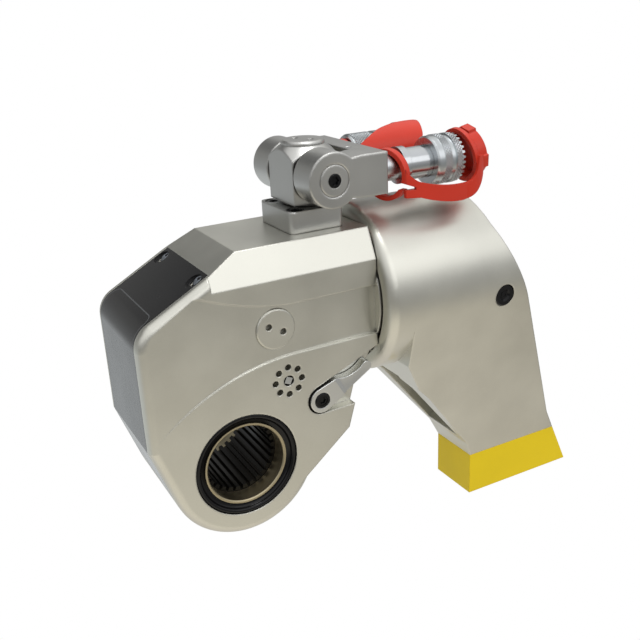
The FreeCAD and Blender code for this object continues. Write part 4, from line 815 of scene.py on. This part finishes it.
@dataclass(frozen=True)
class Head:
    """The visible end of a screw, turned and domed, with a socket sunk into it.

    Args:
        name: the piece's name.
        body: the body that it moves with.
        place: the middle of its rim's plane in millimetres.
        out: the direction that it faces.
        size: its sizes.
        corners: how many corners go round it.
    """

    # Shares of the socket's radius, of the rise or of the broken edge, and one depth in millimetres.
    LIP = 1.3
    MOUTH = 1.05
    TAPER = 0.98
    CONE = 0.2
    DOME = 0.75
    BREAK = 0.3
    MOUTH_DEPTH = 0.12

    name: str
    body: str
    place: tuple[float, float, float]
    out: tuple[float, float, float]
    size: HeadSize
    corners: int = 72

    def rings(self) -> list[tuple[float, float, float]]:
        """The rings of the head from its foot to the socket's floor.

        Returns:
            Plain radius, socket radius and height of each ring; one of the two radii is 0.
        """
        radius, rise, edge, socket = (
            self.size.radius, self.size.rise, self.size.edge, self.size.socket)
        lip = socket * self.LIP
        return [
            (radius, 0.0, -self.size.skirt),
            (radius, 0.0, -edge),
            (radius - edge * self.BREAK, 0.0, -edge * self.BREAK),
            (radius - edge, 0.0, 0.0),
            ((radius + lip) / 2, 0.0, rise * self.DOME),
            (lip, 0.0, rise),
            (0.0, socket * self.MOUTH, rise),
            (0.0, socket, rise - self.MOUTH_DEPTH),
            (0.0, socket * self.TAPER, rise - self.size.depth),
        ]

    def build(self, shop: MaterialShop) -> bpy.types.Object:
        """Makes the head and lets it ride its body.

        Args:
            shop: where its material comes from.

        Returns:
            The object.
        """
        mesh = bmesh.new()
        loops = []
        for plain, wall, height in self.rings():
            loop = []
            for number in range(self.corners):
                angle = number * math.tau / self.corners
                reach = plain + wall * self.size.shape.reach(angle)
                loop.append(mesh.verts.new((reach * math.cos(angle), reach * math.sin(angle), height)))
            loops.append(loop)
        join_rows(mesh, loops, False)
        bottom = self.size.rise - self.size.depth - self.size.socket * self.CONE
        floor = mesh.verts.new((0.0, 0.0, bottom))
        for number in range(self.corners):
            mesh.faces.new((loops[-1][number], loops[-1][(number + 1) % self.corners], floor))
        mesh.faces.new(reversed(loops[0]))
        turn = Vector(self.out).to_track_quat("Z", "Y").to_matrix().to_4x4()
        mesh.transform(Matrix.Scale(MM, 4) @ Matrix.Translation(Vector(self.place)) @ turn)
        return finish_piece(self.name, mesh, self.body, shop.made[self.size.finish])


def join_rows(mesh: bmesh.types.BMesh, rows: list[list[bmesh.types.BMVert]], closed: bool) -> None:
    """Lays faces between rows of corners, each of which runs round in a loop.

    Args:
        mesh: the mesh of the corners.
        rows: the rows, all with as many corners.
        closed: whether the last row is joined to the first.
    """
    for row, after in zip(rows, rows[1:] + rows[:1] if closed else rows[1:]):
        for number in range(len(row)):
            beside = (number + 1) % len(row)
            mesh.faces.new((row[number], row[beside], after[beside], after[number]))


def finish_piece(name: str, mesh: bmesh.types.BMesh, body: str,
                 material: bpy.types.Material) -> bpy.types.Object:
    """Turns a mesh in metres into an object that rides a body.

    Args:
        name: the object's name.
        mesh: its shape, which is freed.
        body: the body that it moves with.
        material: its material.

    Returns:
        The object.
    """
    data = bpy.data.meshes.new(name)
    mesh.normal_update()
    mesh.to_mesh(data)
    mesh.free()
    data.shade_smooth()
    data.set_sharp_from_angle(angle=math.radians(SHARP_ANGLE))
    piece = bpy.data.objects.new(name, data)
    bpy.context.scene.collection.objects.link(piece)
    piece.data.materials.append(material)
    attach(piece, body)
    LOG.info("piece %s", name)
    return piece


@dataclass(frozen=True)
class Screws:
    """All screw heads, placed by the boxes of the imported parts.

    Args:
        shop: where the materials come from.
        slope: the direction that the cover's slope faces.
        cover_head: sizes of the cover's domed screws.
        base_head: sizes of the swivel base's cap screws.
        lever_head: sizes of the socket in the lever's screw.
        axle_head: sizes of the tilt axle's ends.
        latch_head: sizes of the socket in the push button.
    """

    shop: MaterialShop
    slope: tuple[float, float, float] = (-0.4785, 0.0, 0.8781)
    cover_head: HeadSize = HeadSize(radius=4.2, rise=0.95, skirt=1.4, socket=1.5, depth=1.5, edge=0.35,
                                    level=-0.35, finish="screw_black")
    base_head: HeadSize = HeadSize(radius=4.6, rise=0.0, skirt=5.0, socket=2.4, depth=3.0, edge=0.6,
                                   level=0.3, shape=Socket.HEXAGON)
    lever_head: HeadSize = HeadSize(radius=2.98, rise=0.0, skirt=1.0, socket=1.9, depth=1.1, edge=0.2,
                                    level=-0.5)
    axle_head: HeadSize = HeadSize(radius=4.1, rise=0.1, skirt=1.2, socket=2.2, depth=2.4, edge=0.6,
                                   level=0.25)
    latch_head: HeadSize = HeadSize(radius=2.2, rise=0.0, skirt=0.6, socket=1.3, depth=0.9, edge=0.15,
                                    level=-0.9)

    def middle(self, node: str) -> Vector:
        """The middle of a node's box, in millimetres."""
        low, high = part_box(node)
        return (low + high) / 2 / MM

    def cover(self) -> None:
        """The two screws of the front cover, domed heads in dished seats."""
        low, high = (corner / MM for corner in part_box("cover_screws"))
        out = Vector(self.slope)
        size = self.cover_head
        crown = Vector((high.x - size.radius * out.z, 0.0, high.z + size.radius * out.x))
        for side in Side:
            aside = Vector((0.0, side.value * (high.y - size.radius), 0.0))
            spot = crown + aside + size.level * out
            head = Head(f"cover_screw_{side.name.lower()}", "frame", tuple(spot), self.slope, size)
            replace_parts(head.build(self.shop), "cover_screws")

    def base(self) -> None:
        """The four cap screws of the swivel's base."""
        low, high = (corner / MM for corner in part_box("base_screws"))
        size = self.base_head
        columns = {"front": low.x + size.radius, "rear": high.x - size.radius}
        rows = {"near": low.y + size.radius, "far": high.y - size.radius}
        for end, along in columns.items():
            for side, across in rows.items():
                head = Head(f"base_screw_{end}_{side}", "frame", (along, across, high.z + size.level),
                            (0.0, 0.0, 1.0), size)
                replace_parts(head.build(self.shop), "base_screws")

    def insert(self, name: str, body: str, node: str, side: Side, size: HeadSize) -> None:
        """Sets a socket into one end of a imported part.

        Args:
            name: the piece's name.
            body: the body that it moves with.
            node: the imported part.
            side: the side that the end faces.
            size: its sizes.
        """
        low, high = (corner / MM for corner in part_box(node))
        face = low.y if side is Side.NEAR else high.y
        spot = self.middle(node)
        Head(name, body, (spot.x, face + side.value * size.level, spot.z),
             (0.0, float(side.value), 0.0), size).build(self.shop)

    def inserts(self) -> None:
        """The star sockets inside the lever's screw, the tilt axle and the latch button."""
        self.insert("lever_screw_socket", "release", "lever_screw", Side.NEAR, self.lever_head)
        for side in Side:
            self.insert(f"axle_screw_{side.name.lower()}", "yoke", "tilt_axle", side, self.axle_head)
        self.insert("latch_socket", "latch", "latch_button", Side.NEAR, self.latch_head)

    def build(self) -> None:
        """Makes all heads."""
        self.cover()
        self.base()
        self.inserts()


@dataclass(frozen=True)
class BoreRing:
    """The ring of one drive bore: a rolled outer lip and a hollowed inner slope.

    Args:
        side: the side that it faces.
        bore: its inner radius in millimetres.
        lip: radius of the rolled lip.
        step: how far the slope starts under the lip's foot.
        hollow: how deep the slope is hollowed.
        lip_steps: how many corners the lip has.
        slope_steps: how many corners the slope has.
        corners: how many corners go round the ring.
        finish: its finish and slot.
    """

    side: Side
    bore: float = 25.0
    lip: float = 1.5
    step: float = 0.5
    hollow: float = 1.04
    lip_steps: int = 8
    slope_steps: int = 6
    corners: int = 128
    finish: str = "black_oxide"

    def outline(self, seat: float, face: float, radius: float) -> list[tuple[float, float]]:
        """The ring's section.

        Args:
            seat: where its back lies.
            face: where its front lies.
            radius: its outer radius.

        Returns:
            Corners as radius and distance from the middle of the wrench, in millimetres.
        """
        foot = face - self.lip
        section = [(radius, seat), (radius, foot)]
        for number in range(1, self.lip_steps + 1):
            angle = number * math.pi / self.lip_steps
            section.append((radius - self.lip + self.lip * math.cos(angle),
                            foot + self.lip * math.sin(angle)))
        start = radius - 2 * self.lip
        for number in range(1, self.slope_steps + 1):
            share = number / self.slope_steps
            section.append((start + (self.bore - start) * share,
                            foot - self.step - self.hollow * math.sin(share * math.pi / 2)))
        section.append((self.bore, seat))
        return section

    def build(self, shop: MaterialShop) -> None:
        """Makes the ring in place of its CAD node.

        Args:
            shop: where the material comes from.
        """
        node = f"{self.side.name.lower()}_bore_ring"
        low, high = (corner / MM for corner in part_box(node))
        middle = (low + high) / 2
        seat, face = sorted((abs(low.y), abs(high.y)))
        section = self.outline(seat, face, high.z)
        mesh = bmesh.new()
        rows = []
        for number in range(self.corners):
            angle = number * math.tau / self.corners
            rows.append([mesh.verts.new(Vector((
                middle.x + radius * math.cos(angle), self.side.value * reach,
                middle.z + radius * math.sin(angle))) * MM) for radius, reach in section])
        join_rows(mesh, rows, True)
        bmesh.ops.recalc_face_normals(mesh, faces=mesh.faces)
        piece = finish_piece(f"{node}_rolled", mesh, "frame", shop.made[self.finish])
        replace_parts(piece, node)


@dataclass(frozen=True)
class RoundedCopy:
    """A copy of a CAD node with its sharp edges rounded, in place of it.

    Args:
        node: the CAD node.
        body: the body that it moves with.
        radius: the rounding in millimetres.
        bend: the least angle in degrees at which an edge counts as sharp.
        weld: the distance in millimetres within which corners are one.
        flat: the angle in degrees under which neighbouring faces are one.
        segments: how many faces go round an edge.
    """

    node: str
    body: str
    radius: float
    bend: float = 38.0
    weld: float = 0.001
    flat: float = 0.3
    segments: int = 3

    def build(self, source: bpy.types.Object, slot: str, shop: MaterialShop) -> None:
        """Makes the copy.

        Args:
            source: the node's object.
            slot: its material slot.
            shop: where the material comes from.
        """
        mesh = bmesh.new()
        mesh.from_mesh(source.data)
        bmesh.ops.remove_doubles(mesh, verts=mesh.verts, dist=self.weld * MM)
        bmesh.ops.dissolve_limit(mesh, angle_limit=math.radians(self.flat), verts=mesh.verts,
                                 edges=mesh.edges)
        piece = finish_piece(f"{self.node}_rounded", mesh, self.body, shop.made[slot])
        bevel = piece.modifiers.new("rounded_edges", "BEVEL")
        bevel.width = self.radius * MM
        bevel.segments = self.segments
        bevel.limit_method = "ANGLE"
        bevel.angle_limit = math.radians(self.bend)
        bevel.harden_normals = True
        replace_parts(piece, self.node)


ROUNDED = (
    RoundedCopy("yoke", "yoke", 1.1),
    RoundedCopy("swivel_base", "frame", 0.7),
    RoundedCopy("release_lever", "release", 0.35),
)


@dataclass(frozen=True)
class CollarTeeth:
    """The toothed rim at the open end of the near collar, in millimetres.

    Args:
        count: how many teeth go round.
        height: how far they stand out.
        inner: radius of the inside.
        outer: radius of the outside.
        sunk: how far the rim reaches into the collar.
        steps: corners of one tooth, as share of its pitch and share of its height.
    """

    count: int = 30
    height: float = 1.6
    inner: float = 12.9
    outer: float = 14.3
    sunk: float = 0.4
    steps: tuple[tuple[float, float], ...] = ((0.0, 0.0), (0.12, 1.0), (0.5, 1.0), (0.62, 0.0))

    def build(self, shop: MaterialShop) -> None:
        """Makes the ring of teeth.

        Args:
            shop: where the material comes from.
        """
        low, high = (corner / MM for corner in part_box("near_collar"))
        axis = (low + high) / 2
        mesh = bmesh.new()
        foot = Vector((high.x - self.sunk, axis.y, axis.z))
        rows = []
        for number in range(self.count):
            for share, height in self.steps:
                angle = (number + share) * math.tau / self.count
                spoke = Vector((0.0, math.cos(angle), math.sin(angle)))
                crown = foot + Vector((self.sunk + self.height * height, 0.0, 0.0))
                corners = ((foot, self.inner), (crown, self.inner),
                           (crown, self.outer), (foot, self.outer))
                rows.append([mesh.verts.new((start + spoke * reach) * MM) for start, reach in corners])
        join_rows(mesh, rows, True)
        bmesh.ops.recalc_face_normals(mesh, faces=mesh.faces)
        finish_piece("near_collar_teeth", mesh, "near_collar", shop.made["zinc"])


@dataclass(frozen=True)
class Lamp:
    """One soft box.

    Args:
        name: its name.
        place: position in millimetres.
        size: width and height in millimetres.
        power: watts.
        aim: the point it faces, in millimetres.
    """

    name: str
    place: tuple[float, float, float]
    size: tuple[float, float]
    power: float
    aim: tuple[float, float, float] = (80.0, 0.0, 40.0)

    def build(self) -> bpy.types.Object:
        """Makes the lamp.

        Returns:
            The lamp object.
        """
        data = bpy.data.lights.new(self.name, "AREA")
        data.shape = "RECTANGLE"
        data.size, data.size_y = (length * MM for length in self.size)
        data.energy = self.power
        lamp = bpy.data.objects.new(self.name, data)
        lamp.location = Vector(self.place) * MM
        line = (Vector(self.aim) - Vector(self.place)).normalized()
        lamp.rotation_mode = "QUATERNION"
        lamp.rotation_quaternion = line.to_track_quat("-Z", "Y")
        bpy.context.scene.collection.objects.link(lamp)
        return lamp


LAMPS = (
    Lamp("key", (260.0, -760.0, 560.0), (1000.0, 500.0), 1.0),
    Lamp("top", (160.0, -60.0, 900.0), (500.0, 260.0), 2.0),
)


class Studio:
    """The white surroundings, as surfaces see them from each direction, and the lamps."""

    LEVEL = 1.0
    FRONT = (
        (-1.0, (0.80, 0.75, 0.67)),
        (-0.54, (1.0, 0.94, 0.80)),
        (-0.42, (0.50, 0.48, 0.43)),
        (-0.28, (0.18, 0.18, 0.17)),
        (0.05, (0.30, 0.30, 0.30)),
        (0.30, (0.92, 0.92, 0.92)),
        (1.0, (1.0, 1.0, 1.0)),
    )
    RIGHT = (
        (-1.0, (0.66, 0.62, 0.56)),
        (-0.54, (0.44, 0.41, 0.35)),
        (-0.42, (0.42, 0.40, 0.36)),
        (-0.28, (0.32, 0.32, 0.31)),
        (0.05, (0.46, 0.46, 0.46)),
        (0.30, (0.92, 0.92, 0.92)),
        (1.0, (1.0, 1.0, 1.0)),
    )
    BACK = (
        (-1.0, (0.70, 0.66, 0.61)),
        (-0.42, (0.66, 0.69, 0.70)),
        (-0.15, (0.40, 0.41, 0.41)),
        (0.32, (0.32, 0.32, 0.31)),
        (0.48, (0.08, 0.08, 0.08)),
        (0.64, (0.12, 0.12, 0.12)),
        (0.84, (0.95, 0.95, 0.94)),
    )
    BACK_RIGHT = (
        (-1.0, (0.70, 0.66, 0.61)),
        (-0.42, (0.62, 0.65, 0.66)),
        (-0.15, (0.42, 0.43, 0.43)),
        (0.15, (0.34, 0.34, 0.34)),
        (0.38, (0.42, 0.42, 0.41)),
        (0.58, (0.86, 0.85, 0.82)),
        (0.84, (1.0, 1.0, 0.99)),
    )
    # Where the front turns into the right, the front into the back and the back into its right.
    TO_RIGHT = (0.30, 0.62)
    TO_BACK = (-0.35, 0.35)
    TO_BACK_RIGHT = (0.05, 0.40)

    def layers(self, nodes: Nodes, height: Plug,
               stops: tuple[tuple[float, tuple[float, float, float]], ...]) -> Plug:
        """Lays colours over the height of a direction.

        Args:
            nodes: the world's node helper.
            height: the direction's Z, from -1 to 1.
            stops: heights and their colours, from low to high.

        Returns:
            The colour's socket.
        """
        ramp = nodes.add("ShaderNodeValToRGB")
        ramp.color_ramp.interpolation = "EASE"
        marks = ramp.color_ramp.elements
        while len(marks) < len(stops):
            marks.new(0.5)
        for mark, (level, colour) in zip(marks, stops):
            mark.position = level / 2 + 0.5
            mark.color = (*colour, 1.0)
        nodes.join(nodes.ramp(height, -1.0, 1.0), ramp.inputs["Fac"])
        return ramp.outputs["Color"]

    def build(self) -> None:
        """Makes the lamps and the world, white to the camera and layered in what surfaces mirror."""
        world = bpy.data.worlds.new("studio")
        bpy.context.scene.world = world
        world.use_nodes = True
        nodes = Nodes(world.node_tree)
        world.node_tree.nodes.clear()
        path = nodes.add("ShaderNodeLightPath")
        room = nodes.add("ShaderNodeBackground")
        split = nodes.add("ShaderNodeSeparateXYZ")
        nodes.join(nodes.add("ShaderNodeTexCoord").outputs["Generated"], split.inputs[0])
        height = split.outputs["Z"]
        aside = nodes.ramp(split.outputs["X"], *self.TO_RIGHT, smooth=True)
        behind = nodes.ramp(split.outputs["Y"], *self.TO_BACK, smooth=True)
        front, right, back, corner = (
            self.layers(nodes, height, stops)
            for stops in (self.FRONT, self.RIGHT, self.BACK, self.BACK_RIGHT))
        beyond = nodes.ramp(split.outputs["X"], *self.TO_BACK_RIGHT, smooth=True)
        tone = nodes.mix(behind, nodes.mix(aside, front, right), nodes.mix(beyond, back, corner))
        nodes.join(tone, room.inputs["Color"])
        room.inputs["Strength"].default_value = self.LEVEL
        white = nodes.add("ShaderNodeBackground")
        white.inputs["Color"].default_value = (1.0, 1.0, 1.0, 1.0)
        blend = nodes.add("ShaderNodeMixShader")
        nodes.join(path.outputs["Is Camera Ray"], blend.inputs[0])
        nodes.join(room.outputs[0], blend.inputs[1])
        nodes.join(white.outputs[0], blend.inputs[2])
        out = nodes.add("ShaderNodeOutputWorld")
        nodes.join(blend.outputs[0], out.inputs["Surface"])
        for lamp in LAMPS:
            lamp.build()
            LOG.info("lamp %s", lamp.name)


def main() -> None:
    """Builds the whole scene."""
    logging.basicConfig(level=logging.INFO, format="%(message)s")
    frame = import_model()
    shop = MaterialShop()
    for finish in (*FINISHES, SCREW_PAINTED_SHEEN):
        shop.build(finish)
    shop.dress(frame)
    Screws(shop).build()
    CollarTeeth().build(shop)
    slots = slots_of(frame)
    for copy in ROUNDED:
        copy.build(frame["nodes"][copy.node], slots[copy.node], shop)
    for side in Side:
        BoreRing(side).build(shop)
    Studio().build()
    Viewpoint().build()
    scene = bpy.context.scene
    scene.view_settings.view_transform = "Standard"


if __name__ == "__main__":
    main()
